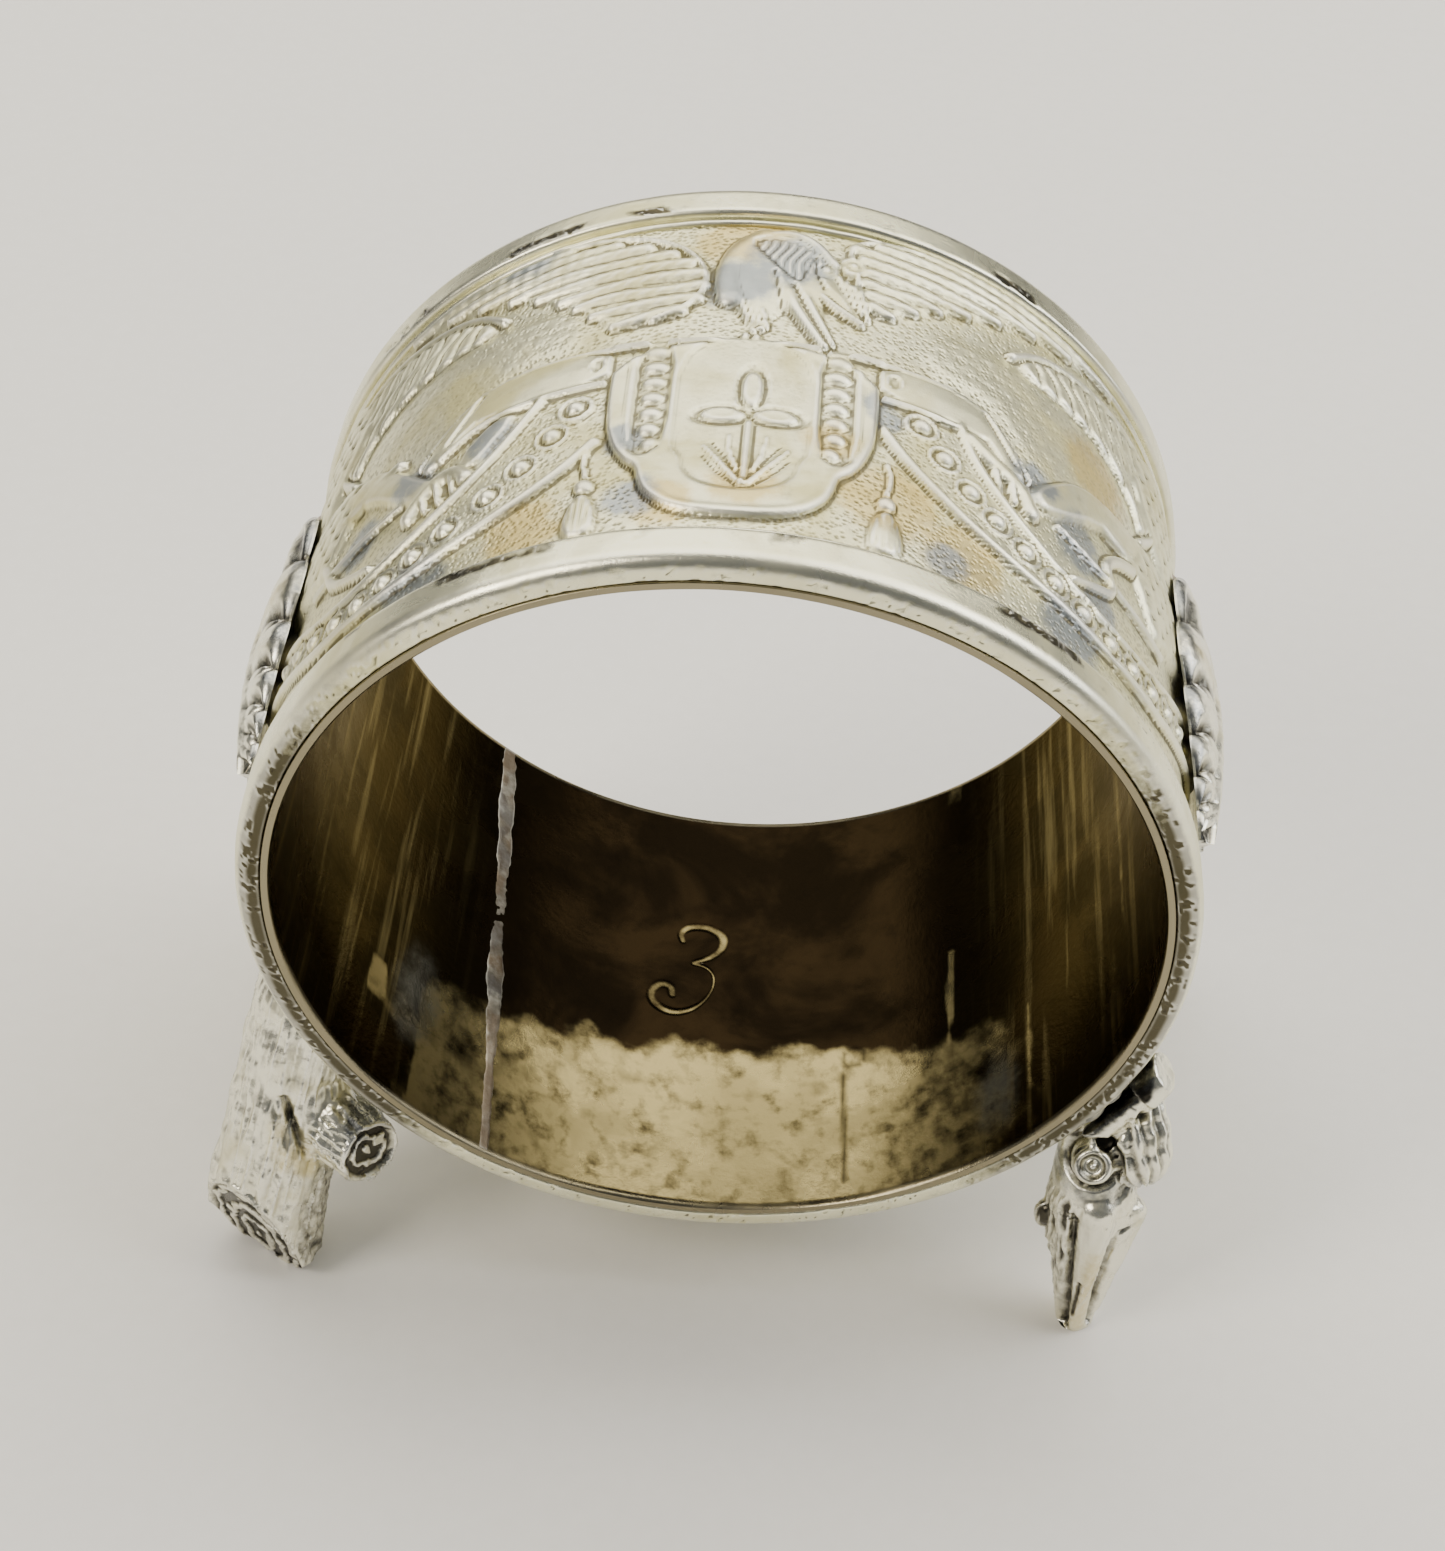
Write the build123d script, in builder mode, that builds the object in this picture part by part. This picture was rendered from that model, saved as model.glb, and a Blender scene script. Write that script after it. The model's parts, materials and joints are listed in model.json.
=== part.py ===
# Figural napkin ring: a rolled band with applied rims, two cast leaves and four cast twig feet,
# all soft-soldered together. Millimetres, +Z up, origin on the ground under the ring's centre.
# The ring's axis lies along Y, and its front end faces -Y.

import os
from math import cos, radians, sin

from build123d import *

os.makedirs("parts", exist_ok=True)

# ---- driving dimensions -------------------------------------------------------------------

band_length = 28.5  # end to end, along Y
bore_radius = 21.0
rim_radius = 22.75
rim_width = 2.25
frieze_radius = 22.15  # the ground that the chased relief rises from
seat_radius = 21.5  # band wall under the rims
ring_clearance = 5.5  # air under the ring

rim_outer_round = 0.45  # corner worn by handling
rim_inner_round = 0.25  # corner next to the frieze
rim_solder_leg = 0.3

shield_relief = 0.35
shield_width = 12.8
shield_back = 1.75  # Y of its straight edge
shield_length = 7.6  # of the straight sides
shield_corner = 2.4
shield_lobe_width = 8.0
shield_lobe_depth = 4.4

seam_angle = 215.7  # degrees from the top, turning towards +X
seam_skew = -4.8  # the strip was cut slightly out of square, so the seam runs askew
seam_width = 0.9
seam_depth = 0.35

leaf_height = 3.6  # leaf's middle above the ring's axis
leaf_shift = -1.0  # leaf's middle along Y
leaf_half_length = 8.6
leaf_half_height = 5.4
leaf_lobe_radius = 2.1
leaf_seat_radius = 22.75
leaf_edge_radius = 23.35  # outer face at the leaf's two ends
leaf_crown_radius = 24.35  # outer face at the leaf's middle

foot_seat_radius = 22.9  # castings are coped to this, with solder under them
collar_radius = 23.5  # how far out the solder collars reach
log_radius = 3.25
stub_radius = 1.85
prong_radius = 2.45
prong_tip_radius = 0.95

# ---- values worked out from them ----------------------------------------------------------

half_length = band_length / 2
frieze_length = band_length - 2 * rim_width
frieze_edge = half_length - rim_width
axis_height = rim_radius + ring_clearance

ring_centre = (0, 0, axis_height)
ring_axis = Axis(ring_centre, (0, 1, 0))
profile_plane = Plane.XY.offset(axis_height)  # X is radius, Y runs along the ring
bore_plane = Plane(origin=ring_centre, x_dir=(1, 0, 0), z_dir=(0, 1, 0))
side_plane = Plane(origin=ring_centre, x_dir=(0, 1, 0), z_dir=(1, 0, 0))


def spoke_plane(angle, along=0):
    """Plane on the ring's axis whose Z points outwards at an angle from the top."""
    outward = (sin(radians(angle)), 0, cos(radians(angle)))
    return Plane(origin=(0, along, axis_height), x_dir=(0, 1, 0), z_dir=outward)


def limb(start, end, start_radius, end_radius):
    """Add a round tapered limb between two points to the part being built."""
    run = Vector(*end) - Vector(*start)
    with Locations(Plane(origin=start, z_dir=run).location):
        Cone(start_radius, end_radius, run.length, align=(Align.CENTER, Align.CENTER, Align.MIN))


def knuckle(centre, radius):
    """Add a ball where limbs meet."""
    with Locations(centre):
        Sphere(radius)


def cope():
    """Cut the ring's round out of the casting being built, and file its sole flat."""
    with Locations(bore_plane.location):
        Cylinder(foot_seat_radius, band_length * 2, mode=Mode.SUBTRACT)
    split(bisect_by=Plane.XY, keep=Keep.TOP)


def turn_half(piece):
    """Add a copy of a piece, turned half a turn about Z."""
    with Locations(Location((0, 0, 0), (0, 0, 180))):
        add(piece)


# ---- band ---------------------------------------------------------------------------------

# The straight seam inside the band is filled flush with solder.
with BuildPart() as band_seam_solder:
    with Locations(spoke_plane(seam_angle).location):
        Box(
            band_length * 1.1,
            seam_width,
            bore_radius + seam_depth,
            rotation=(0, 0, seam_skew),
            align=(Align.CENTER, Align.CENTER, Align.MIN),
        )
    with Locations(bore_plane.location):
        Cylinder(rim_radius, band_length, mode=Mode.INTERSECT)
        Cylinder(bore_radius, band_length * 2, mode=Mode.SUBTRACT)
band_seam_solder.part.label = "band_seam_solder"
export_step(band_seam_solder.part, "parts/band_seam_solder.step")

# One shield stands up from the frieze at the top and one at the underside.
with BuildPart() as shields:
    with BuildSketch(profile_plane):
        with Locations((bore_radius, 0)):
            Rectangle(
                frieze_radius + shield_relief - bore_radius,
                frieze_length - 1,
                align=(Align.MIN, Align.CENTER),
            )
    revolve(axis=ring_axis)
    with BuildSketch(profile_plane):
        with Locations((0, shield_back)):
            Rectangle(shield_width, shield_length, align=(Align.CENTER, Align.MAX))
        front_corners = vertices().group_by(Axis.Y)[0]
        fillet(front_corners, radius=shield_corner)
        with Locations((0, shield_back - shield_length)):
            Ellipse(shield_lobe_width / 2, shield_lobe_depth)
    extrude(amount=rim_radius + 1, both=True, mode=Mode.INTERSECT)

with BuildPart() as band:
    with BuildSketch(profile_plane):
        with Locations((bore_radius, 0)):
            Rectangle(seat_radius - bore_radius, band_length, align=(Align.MIN, Align.CENTER))
            Rectangle(frieze_radius - bore_radius, frieze_length, align=(Align.MIN, Align.CENTER))
    revolve(axis=ring_axis)
    add(shields.part)
    add(band_seam_solder.part, mode=Mode.SUBTRACT)
band.part.label = "band"
export_step(band.part, "parts/band.step")

# ---- rims ---------------------------------------------------------------------------------

with BuildPart() as front_rim:
    with BuildSketch(profile_plane):
        with Locations((seat_radius, -half_length)):
            Rectangle(rim_radius - seat_radius, rim_width, align=(Align.MIN, Align.MIN))
        outer_corners = vertices().group_by(Axis.X)[-1].sort_by(Axis.Y)
        fillet(outer_corners[0], radius=rim_outer_round)
        fillet(vertices().group_by(Axis.Y)[-1].sort_by(Axis.X)[-1], radius=rim_inner_round)
    revolve(axis=ring_axis)
front_rim.part.label = "front_rim"
export_step(front_rim.part, "parts/front_rim.step")

with BuildPart() as rear_rim:
    mirror(front_rim.part, about=Plane.XZ)
rear_rim.part.label = "rear_rim"
export_step(rear_rim.part, "parts/rear_rim.step")

with BuildPart() as front_rim_solder:
    with BuildSketch(profile_plane):
        with BuildLine():
            Polyline(
                (frieze_radius, -frieze_edge),
                (frieze_radius + rim_solder_leg, -frieze_edge),
                (frieze_radius, -frieze_edge + rim_solder_leg),
                close=True,
            )
        make_face()
    revolve(axis=ring_axis)
front_rim_solder.part.label = "front_rim_solder"
export_step(front_rim_solder.part, "parts/front_rim_solder.step")

with BuildPart() as rear_rim_solder:
    mirror(front_rim_solder.part, about=Plane.XZ)
rear_rim_solder.part.label = "rear_rim_solder"
export_step(rear_rim_solder.part, "parts/rear_rim_solder.step")

# ---- leaves -------------------------------------------------------------------------------

lobe_pitch = leaf_half_length * 0.42
lobe_spread = leaf_half_height * 0.62
leaf_middle = (leaf_shift, leaf_height)

# A curved plate, thick down the middle and thin at its tips, cut to a lobed outline.
with BuildPart() as right_leaf:
    with BuildSketch(profile_plane):
        with BuildLine():
            rear_end = leaf_shift + leaf_half_length
            front_end = leaf_shift - leaf_half_length
            Polyline(
                (leaf_edge_radius, rear_end),
                (leaf_seat_radius, rear_end),
                (leaf_seat_radius, front_end),
                (leaf_edge_radius, front_end),
            )
            ThreePointArc(
                (leaf_edge_radius, front_end),
                (leaf_crown_radius, leaf_shift),
                (leaf_edge_radius, rear_end),
            )
        make_face()
    revolve(axis=ring_axis)
    with BuildSketch(side_plane):
        with Locations(leaf_middle):
            Ellipse(leaf_half_length, leaf_half_height * 0.7)
            with GridLocations(lobe_pitch, 2 * lobe_spread, 3, 2):
                Circle(leaf_lobe_radius)
    extrude(amount=leaf_crown_radius + 1, mode=Mode.INTERSECT)
right_leaf.part.label = "right_leaf"
export_step(right_leaf.part, "parts/right_leaf.step")

with BuildPart() as left_leaf:
    mirror(right_leaf.part, about=Plane.YZ)
left_leaf.part.label = "left_leaf"
export_step(left_leaf.part, "parts/left_leaf.step")

with BuildPart() as right_leaf_solder:
    with BuildSketch(profile_plane):
        with Locations((frieze_radius, leaf_shift)):
            Rectangle(
                leaf_seat_radius - frieze_radius,
                2 * leaf_half_length,
                align=(Align.MIN, Align.CENTER),
            )
    revolve(axis=ring_axis)
    with BuildSketch(side_plane):
        with Locations(leaf_middle):
            Ellipse(leaf_half_length * 0.8, leaf_half_height * 0.75)
    extrude(amount=leaf_crown_radius + 1, mode=Mode.INTERSECT)
right_leaf_solder.part.label = "right_leaf_solder"
export_step(right_leaf_solder.part, "parts/right_leaf_solder.step")

with BuildPart() as left_leaf_solder:
    mirror(right_leaf_solder.part, about=Plane.YZ)
left_leaf_solder.part.label = "left_leaf_solder"
export_step(left_leaf_solder.part, "parts/left_leaf_solder.step")

# ---- log feet -----------------------------------------------------------------------------

log_top = (-20.3, -8.4, 17.2)
log_end = (-23.7, -14.1, 1.6)  # where the sawn face crosses the log's axis
sawn_face = Plane(origin=log_end, z_dir=(-0.51, -0.83, -0.21))
log_run = Vector(*log_end) - Vector(*log_top)
log_past_end = Vector(*log_end) + log_run.normalized() * log_radius * 1.5
stub_root = (-21.2, -11.2, 10.75)
stub_end = (-17.1, -13.55, 8.6)

with BuildPart() as front_left_log_foot:
    limb(log_top, log_past_end, log_radius * 0.92, log_radius)
    knuckle(log_top, log_radius * 0.92)
    split(bisect_by=sawn_face, keep=Keep.BOTTOM)
    limb(stub_root, stub_end, stub_radius * 1.1, stub_radius)
    cope()
front_left_log_foot.part.label = "front_left_log_foot"
export_step(front_left_log_foot.part, "parts/front_left_log_foot.step")

with BuildPart() as rear_right_log_foot:
    turn_half(front_left_log_foot.part)
rear_right_log_foot.part.label = "rear_right_log_foot"
export_step(rear_right_log_foot.part, "parts/rear_right_log_foot.step")

# ---- twig feet ----------------------------------------------------------------------------

twig_root = (20.6, -9.8, 17.4)
twig_fork = (20.2, -12.9, 8.9)
twig_tip = (20.4, -14.2, -0.4)
knot_centre = (19.75, -14.05, 12.9)
bar_low = (19.6, -13.0, 14.6)
bar_high = (22.3, -12.1, 17.9)
shell_root = (20.8, -11.0, 15.3)
shell_end = (22.4, -13.0, 11.8)
facet_top = (22.1, -13.5, 8.4)  # a second, shorter split of the twig beside the prong
facet_low = (20.9, -14.1, 0.9)

with BuildPart() as front_right_twig_foot:
    limb(twig_root, twig_fork, prong_radius * 0.8, prong_radius)
    knuckle(twig_fork, prong_radius)
    limb(twig_fork, twig_tip, prong_radius, prong_tip_radius)
    limb(facet_top, facet_low, 1.0, 0.6)
    limb(shell_root, shell_end, 1.3, 1.8)
    limb(bar_low, bar_high, 0.9, 1.0)
    with Locations(Plane(origin=knot_centre, z_dir=(-0.12, -0.78, 0.5)).location):
        Cylinder(0.95, 1.9)
    cope()
front_right_twig_foot.part.label = "front_right_twig_foot"
export_step(front_right_twig_foot.part, "parts/front_right_twig_foot.step")

with BuildPart() as rear_left_twig_foot:
    turn_half(front_right_twig_foot.part)
rear_left_twig_foot.part.label = "rear_left_twig_foot"
export_step(rear_left_twig_foot.part, "parts/rear_left_twig_foot.step")

# ---- solder under the feet ----------------------------------------------------------------

log_pool_angle, log_pool_y, log_pool_radius = -121, -9.6, 3.5
twig_pool_angle, twig_pool_y, twig_pool_radius = 119, -10.8, 2.6


def pool(angle, along, radius):
    """Add a round pool of solder with a sloping edge, from the band's wall out to the collar."""
    with Locations(spoke_plane(angle, along).offset(bore_radius).location):
        Cone(
            radius * 1.1,
            radius,
            collar_radius - bore_radius,
            align=(Align.CENTER, Align.CENTER, Align.MIN),
        )


def clear_neighbours(foot):
    """Cut the solder pool being built back to the faces of what it joins."""
    for neighbour in (band, front_rim, front_rim_solder, foot):
        add(neighbour.part, mode=Mode.SUBTRACT)
    with Locations(bore_plane.location):
        Cylinder(seat_radius, band_length * 2, mode=Mode.SUBTRACT)


with BuildPart() as front_left_foot_solder:
    pool(log_pool_angle, log_pool_y, log_pool_radius)
    clear_neighbours(front_left_log_foot)
front_left_foot_solder.part.label = "front_left_foot_solder"
export_step(front_left_foot_solder.part, "parts/front_left_foot_solder.step")

with BuildPart() as rear_right_foot_solder:
    turn_half(front_left_foot_solder.part)
rear_right_foot_solder.part.label = "rear_right_foot_solder"
export_step(rear_right_foot_solder.part, "parts/rear_right_foot_solder.step")

with BuildPart() as front_right_foot_solder:
    pool(twig_pool_angle, twig_pool_y, twig_pool_radius)
    clear_neighbours(front_right_twig_foot)
front_right_foot_solder.part.label = "front_right_foot_solder"
export_step(front_right_foot_solder.part, "parts/front_right_foot_solder.step")

with BuildPart() as rear_left_foot_solder:
    turn_half(front_right_foot_solder.part)
rear_left_foot_solder.part.label = "rear_left_foot_solder"
export_step(rear_left_foot_solder.part, "parts/rear_left_foot_solder.step")
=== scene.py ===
import bpy
import bmesh
import json
import numpy as np
from math import atan2, cos, degrees, hypot, pi, radians, sin
from mathutils import Matrix, Vector, noise


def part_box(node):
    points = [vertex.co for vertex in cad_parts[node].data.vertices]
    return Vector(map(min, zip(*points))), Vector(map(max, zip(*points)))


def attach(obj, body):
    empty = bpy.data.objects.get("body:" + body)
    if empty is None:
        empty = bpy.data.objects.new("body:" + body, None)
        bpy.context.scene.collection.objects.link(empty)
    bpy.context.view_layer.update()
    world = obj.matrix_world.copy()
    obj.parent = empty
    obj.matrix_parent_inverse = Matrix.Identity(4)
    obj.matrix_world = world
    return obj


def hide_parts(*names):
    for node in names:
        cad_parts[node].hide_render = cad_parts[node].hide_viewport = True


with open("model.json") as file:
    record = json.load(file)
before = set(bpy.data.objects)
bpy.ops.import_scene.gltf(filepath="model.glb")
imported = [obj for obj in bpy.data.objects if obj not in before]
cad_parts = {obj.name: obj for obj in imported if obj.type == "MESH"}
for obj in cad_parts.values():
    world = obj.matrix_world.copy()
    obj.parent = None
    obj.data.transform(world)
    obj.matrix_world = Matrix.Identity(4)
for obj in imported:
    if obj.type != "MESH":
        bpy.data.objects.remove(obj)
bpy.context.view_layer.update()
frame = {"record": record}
mm = 0.001

# the ring's own frame, read from the CAD nodes
rimLow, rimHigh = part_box("front_rim")
bandLow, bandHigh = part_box("band")
ring = {
    "height": (rimLow.z + rimHigh.z) / 2,
    "rim": (rimHigh.x - rimLow.x) / 2,
    "ground": (bandHigh.x - bandLow.x) / 2,
    "bore": next(m for m in frame["record"]["mounts"] if m["name"] == "ring_bore")["dims"]["r_mm"] * mm,
    "front": bandLow.y,
    "back": bandHigh.y,
    "rimWidth": rimHigh.y - rimLow.y,
}
print("frame loaded, ring axis at", round(ring["height"] / mm, 2), "mm")


# small tools

def smooth(t):
    t = np.clip(t, 0, 1)
    return t * t * (3 - 2 * t)


def coords(mesh):
    flat = np.empty(len(mesh.vertices) * 3)
    mesh.vertices.foreach_get("co", flat)
    return flat.reshape(-1, 3)


def setCoords(mesh, co):
    mesh.vertices.foreach_set("co", np.ascontiguousarray(co, float).ravel())
    mesh.update()


def normals(mesh):
    flat = np.empty(len(mesh.vertices) * 3, np.float32)
    mesh.vertex_normals.foreach_get("vector", flat)
    return flat.reshape(-1, 3)


def ringPolar(co):
    # angle from the top towards +X in degrees, radius and place along the ring, in mm
    x, z = co[:, 0], co[:, 2] - ring["height"]
    return np.degrees(np.arctan2(x, z)), np.hypot(x, z) / mm, (co[:, 1] - ring["front"]) / mm


def setRadius(co, radius):
    # moves points in or out from the ring's axis, radius in mm
    x, z = co[:, 0], co[:, 2] - ring["height"]
    scale = radius * mm / np.hypot(x, z)
    out = co.copy()
    out[:, 0] = x * scale
    out[:, 2] = z * scale + ring["height"]
    return out


def grain(co, pitch, octaves=3, seed=0):
    # soft noise from about -1 to 1, its lumps as wide as pitch in mm
    shift = Vector((seed * 17.3, seed * 5.1, seed * 9.7))
    points = co / (pitch * mm)
    return np.array([noise.fractal(Vector(p) + shift, 1.0, 2.0, octaves) for p in points])


def nearLine(co, start, end, width):
    # 1 on a line from start to end, 0 further off than width
    start, end = np.array(start, float), np.array(end, float)
    run = end - start
    t = np.clip((co - start) @ run / (run @ run), 0, 1)
    return smooth(1 - np.linalg.norm(co - start - t[:, None] * run, axis=1) / width)


def ageMesh(obj, rounds=(3, 14)):
    # stores how hollow or proud each point is, so the tarnish settles in hollows and rubs off edges
    mesh = obj.data
    edges = np.empty(len(mesh.edges) * 2, np.int64)
    mesh.edges.foreach_get("vertices", edges)
    a, b = edges.reshape(-1, 2).T
    co, nor = coords(mesh), normals(mesh)
    count = np.bincount(np.concatenate((a, b)), minlength=len(co))[:, None].clip(1)
    soft, found = co.copy(), {}
    for step in range(max(rounds)):
        total = np.stack([np.bincount(a, soft[b, k], len(co)) + np.bincount(b, soft[a, k], len(co))
                          for k in range(3)], 1)
        soft = 0.5 * soft + 0.5 * total / count
        if step + 1 in rounds:
            found[step + 1] = ((soft - co) * nor).sum(1) / mm
    for label, step in zip(("fineHollow", "wideHollow"), rounds):
        layer = mesh.attributes.new(label, "FLOAT", "POINT")
        layer.data.foreach_set("value", found[step].astype(np.float32))


def addAttribute(obj, label, values):
    layer = obj.data.attributes.new(label, "FLOAT", "POINT")
    layer.data.foreach_set("value", np.asarray(values, np.float32))


def finishPiece(bm, name, material, nodes, sharpAngle=50):
    # turns a bmesh into a piece that rides on the frame and stands for its CAD nodes
    for edge in bm.edges:
        edge.smooth = not (edge.is_manifold and edge.calc_face_angle(0) > radians(sharpAngle))
    for face in bm.faces:
        face.smooth = True
    mesh = bpy.data.meshes.new(name)
    bm.to_mesh(mesh)
    bm.free()
    obj = bpy.data.objects.new(name, mesh)
    bpy.context.scene.collection.objects.link(obj)
    mesh.materials.append(material)
    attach(obj, "root")
    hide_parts(*nodes)
    return obj


def flatGrid(columns, rows):
    # a flat grid from (0, 0) to (1, 1)
    bm = bmesh.new()
    bmesh.ops.create_grid(bm, x_segments=columns, y_segments=rows, size=0.5)
    bmesh.ops.translate(bm, vec=(0.5, 0.5, 0), verts=bm.verts)
    return bm


def rollRing(profile, columns):
    # a closed ring: the grid's rows follow the closed profile (radius, along) in mm, its columns go round
    rows = len(profile) - 1
    bm = flatGrid(columns, rows)
    radius, along = np.array(profile, float).T
    for vert in bm.verts:
        row = round(vert.co.y * rows)
        turn = 2 * pi * vert.co.x
        r = radius[row] * mm
        vert.co = (r * sin(turn), ring["front"] + along[row] * mm, ring["height"] + r * cos(turn))
    bmesh.ops.remove_doubles(bm, verts=bm.verts, dist=1e-7)
    bmesh.ops.recalc_face_normals(bm, faces=bm.faces)
    return bm


# chasing tools: they raise a flat field of heights before it is rolled
# every drawing is in degrees round the ring from the top and mm from the front end

degree = ring["ground"] / mm * pi / 180


def curve(points, closed=False, rounds=2):
    # rounds off a drawn line by cutting its corners
    pts = np.array(points, float)
    for _ in range(rounds):
        ahead = np.roll(pts, -1, 0) if closed else pts[1:]
        here = pts if closed else pts[:-1]
        cut = np.stack((0.75 * here + 0.25 * ahead, 0.25 * here + 0.75 * ahead), 1).reshape(-1, 2)
        pts = cut if closed else np.vstack((pts[:1], cut, pts[-1:]))
    return pts


def gapTo(field, points, reach, closed=False):
    # cells within reach of a line, how far each is from it in mm, and how far along it from 0 to 1
    pts = np.array(points, float) * (degree, 1)
    near = np.flatnonzero((field["s"] > pts[:, 0].min() - reach) & (field["s"] < pts[:, 0].max() + reach)
                          & (field["v"] > pts[:, 1].min() - reach) & (field["v"] < pts[:, 1].max() + reach))
    cell = np.stack((field["s"][near], field["v"][near]), 1)
    ends = np.roll(pts, -1, 0) if closed else pts[1:]
    starts = pts if closed else pts[:-1]
    lengths = np.hypot(*(ends - starts).T)
    total, passed = lengths.sum(), 0
    best, place = np.full(len(near), 1e9), np.zeros(len(near))
    for start, end, length in zip(starts, ends, lengths):
        if length < 1e-9:
            continue
        run = (end - start) / length
        t = np.clip((cell - start) @ run, 0, length)
        gap = np.hypot(*(cell - start - t[:, None] * run).T)
        closer = gap < best
        best[closer] = gap[closer]
        place[closer] = (passed + t[closer]) / total
        passed += length
    return near, best, place


def insideOf(field, points):
    # cells in an outline's box, and how deep inside it each is in mm, negative outside
    near, gap, _ = gapTo(field, points, 0.5, closed=True)
    pts = np.array(points, float) * (degree, 1)
    x, y = field["s"][near], field["v"][near]
    odd = np.zeros(len(near), bool)
    for (x0, y0), (x1, y1) in zip(pts, np.roll(pts, -1, 0)):
        if y0 == y1:
            continue
        odd ^= ((y0 > y) != (y1 > y)) & (x < (x1 - x0) * (y - y0) / (y1 - y0) + x0)
    return near, np.where(odd, gap, -gap)


def bar(field, points, width, height, taper=0, onTop=False, rounds=2):
    # a raised line with a rounded back, thinner towards its end by taper
    near, gap, place = gapTo(field, curve(points, rounds=rounds), width)
    half = width / 2 * (1 - taper * place)
    rise = height * np.sqrt(np.clip(1 - (gap / half) ** 2, 0, 1)) * (1 - 0.5 * taper * place)
    if onTop:
        field["h"][near] += rise
    else:
        field["h"][near] = np.maximum(field["h"][near], rise)


def groove(field, points, width, depth, rounds=2):
    near, gap, _ = gapTo(field, curve(points, rounds=rounds), width)
    field["h"][near] -= depth * smooth(1 - gap / (width / 2))


def pad(field, points, height, edge, dome=0, domeReach=1, rounds=2, blend=False):
    # a raised area with soft sides, crowned by dome
    near, depth = insideOf(field, curve(points, closed=True, rounds=rounds))
    mask = smooth(depth / edge + 0.5)
    level = height + dome * np.sqrt(np.clip(depth / domeReach, 0, 1))
    if blend:
        field["h"][near] = field["h"][near] * (1 - mask) + level * mask
    else:
        field["h"][near] = np.maximum(field["h"][near], level * mask)
    return near, depth


def bead(field, centre, size, height, onTop=False, slope=0):
    # an oval boss, size is its two half widths in mm
    x = field["s"] - centre[0] * degree
    y = field["v"] - centre[1]
    x, y = x * cos(slope) + y * sin(slope), y * cos(slope) - x * sin(slope)
    away = (x / size[0]) ** 2 + (y / size[1]) ** 2
    near = away < 1
    rise = height * np.sqrt(1 - away[near])
    if onTop:
        field["h"][near] += rise
    else:
        field["h"][near] = np.maximum(field["h"][near], rise)


def scales(field, points, pitch, height):
    # overlapping round feathers inside an outline
    near, depth = insideOf(field, curve(points, closed=True))
    row = np.floor(field["v"][near] / pitch)
    across = field["s"][near] / (pitch * 1.15) + 0.5 * (row % 2)
    tongue = 1 - 3.4 * (across - np.round(across)) ** 2 - 1.3 * (field["v"][near] / pitch - row - 0.25) ** 2
    field["h"][near] += height * (np.sqrt(np.clip(tongue, 0, 1)) - 0.6) * smooth((depth - 0.15) / 0.4)


def spot(field, centre, radius):
    # a soft round patch from 0 to 1
    away = np.hypot(field["s"] - centre[0] * degree, field["v"] - centre[1]) / radius
    return smooth(1.3 - away)


# the frieze

frieze = {
    "cell": 0.135,
    "shield": 0.36,
    "shieldMiddle": -0.8,
    "beadPitch": 1.14,
    "strapBeads": {
        -1: [(-20.6, 12.1), (-23.1, 10.4), (-26.5, 8.7), (-30.5, 7.4), (-35.9, 6.3), (-40.4, 5.6),
             (-45.0, 5.1),
             (-49.6, 4.9), (-54.3, 5.1), (-59.5, 5.7), (-65, 6.7), (-71, 8.0), (-77, 9.2)],
        1: [(20.5, 12.5), (23.5, 10.8), (27.0, 9.3), (30.6, 8.2), (34.8, 7.3), (39.4, 6.6), (44.2, 6.1),
            (49.2, 5.8), (54.3, 5.9), (59.5, 6.3), (65, 7.1), (71, 8.2), (77, 9.3)],
    },
    "strapTop": {
        -1: [(-25.3, 13.3), (-27.3, 12.0), (-31, 9.9), (-36, 8.2), (-42, 6.9), (-49, 6.1), (-55, 6.2),
             (-61, 7.1),
             (-68, 8.7), (-78, 10.8), (-90, 12.2)],
        1: [(25.4, 13.7), (27.0, 11.9), (30, 10.2), (35, 8.6), (41, 7.3), (48, 6.7), (55, 6.9), (61, 7.5),
            (68, 8.9), (78, 10.9), (90, 12.2)],
    },
    "strapFoot": {
        -1: [(-17.6, 9.2), (-21, 7.6), (-25.5, 6.3), (-31, 5.2), (-38, 4.4), (-46, 4.0), (-54, 4.0),
             (-61, 4.6),
             (-68, 5.9), (-78, 7.9), (-90, 9.3)],
        1: [(15.6, 11.3), (18.5, 9.6), (22.5, 8.1), (27.5, 6.7), (33, 5.8), (40, 5.2), (48, 4.8), (56, 4.8),
            (62, 5.2), (68, 6.2), (78, 8.0), (90, 9.3)],
    },
}


def chaseStraps(field):
    for side in (-1, 1):
        top, foot = frieze["strapTop"][side], frieze["strapFoot"][side]
        pad(field, top + foot[::-1], 0.10, 0.3, rounds=1)
        bar(field, top, 0.62, 0.34)
        bar(field, foot, 0.66, 0.36)
        for centre in frieze["strapBeads"][side]:
            away = np.hypot(field["s"] - centre[0] * degree, field["v"] - centre[1])
            ringed = away < 0.95
            field["h"][ringed] = 0.06 + 0.15 * smooth(1 - np.abs(away[ringed] - 0.78) / 0.17)
            bead(field, centre, (0.47, 0.47), 0.40)


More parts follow.
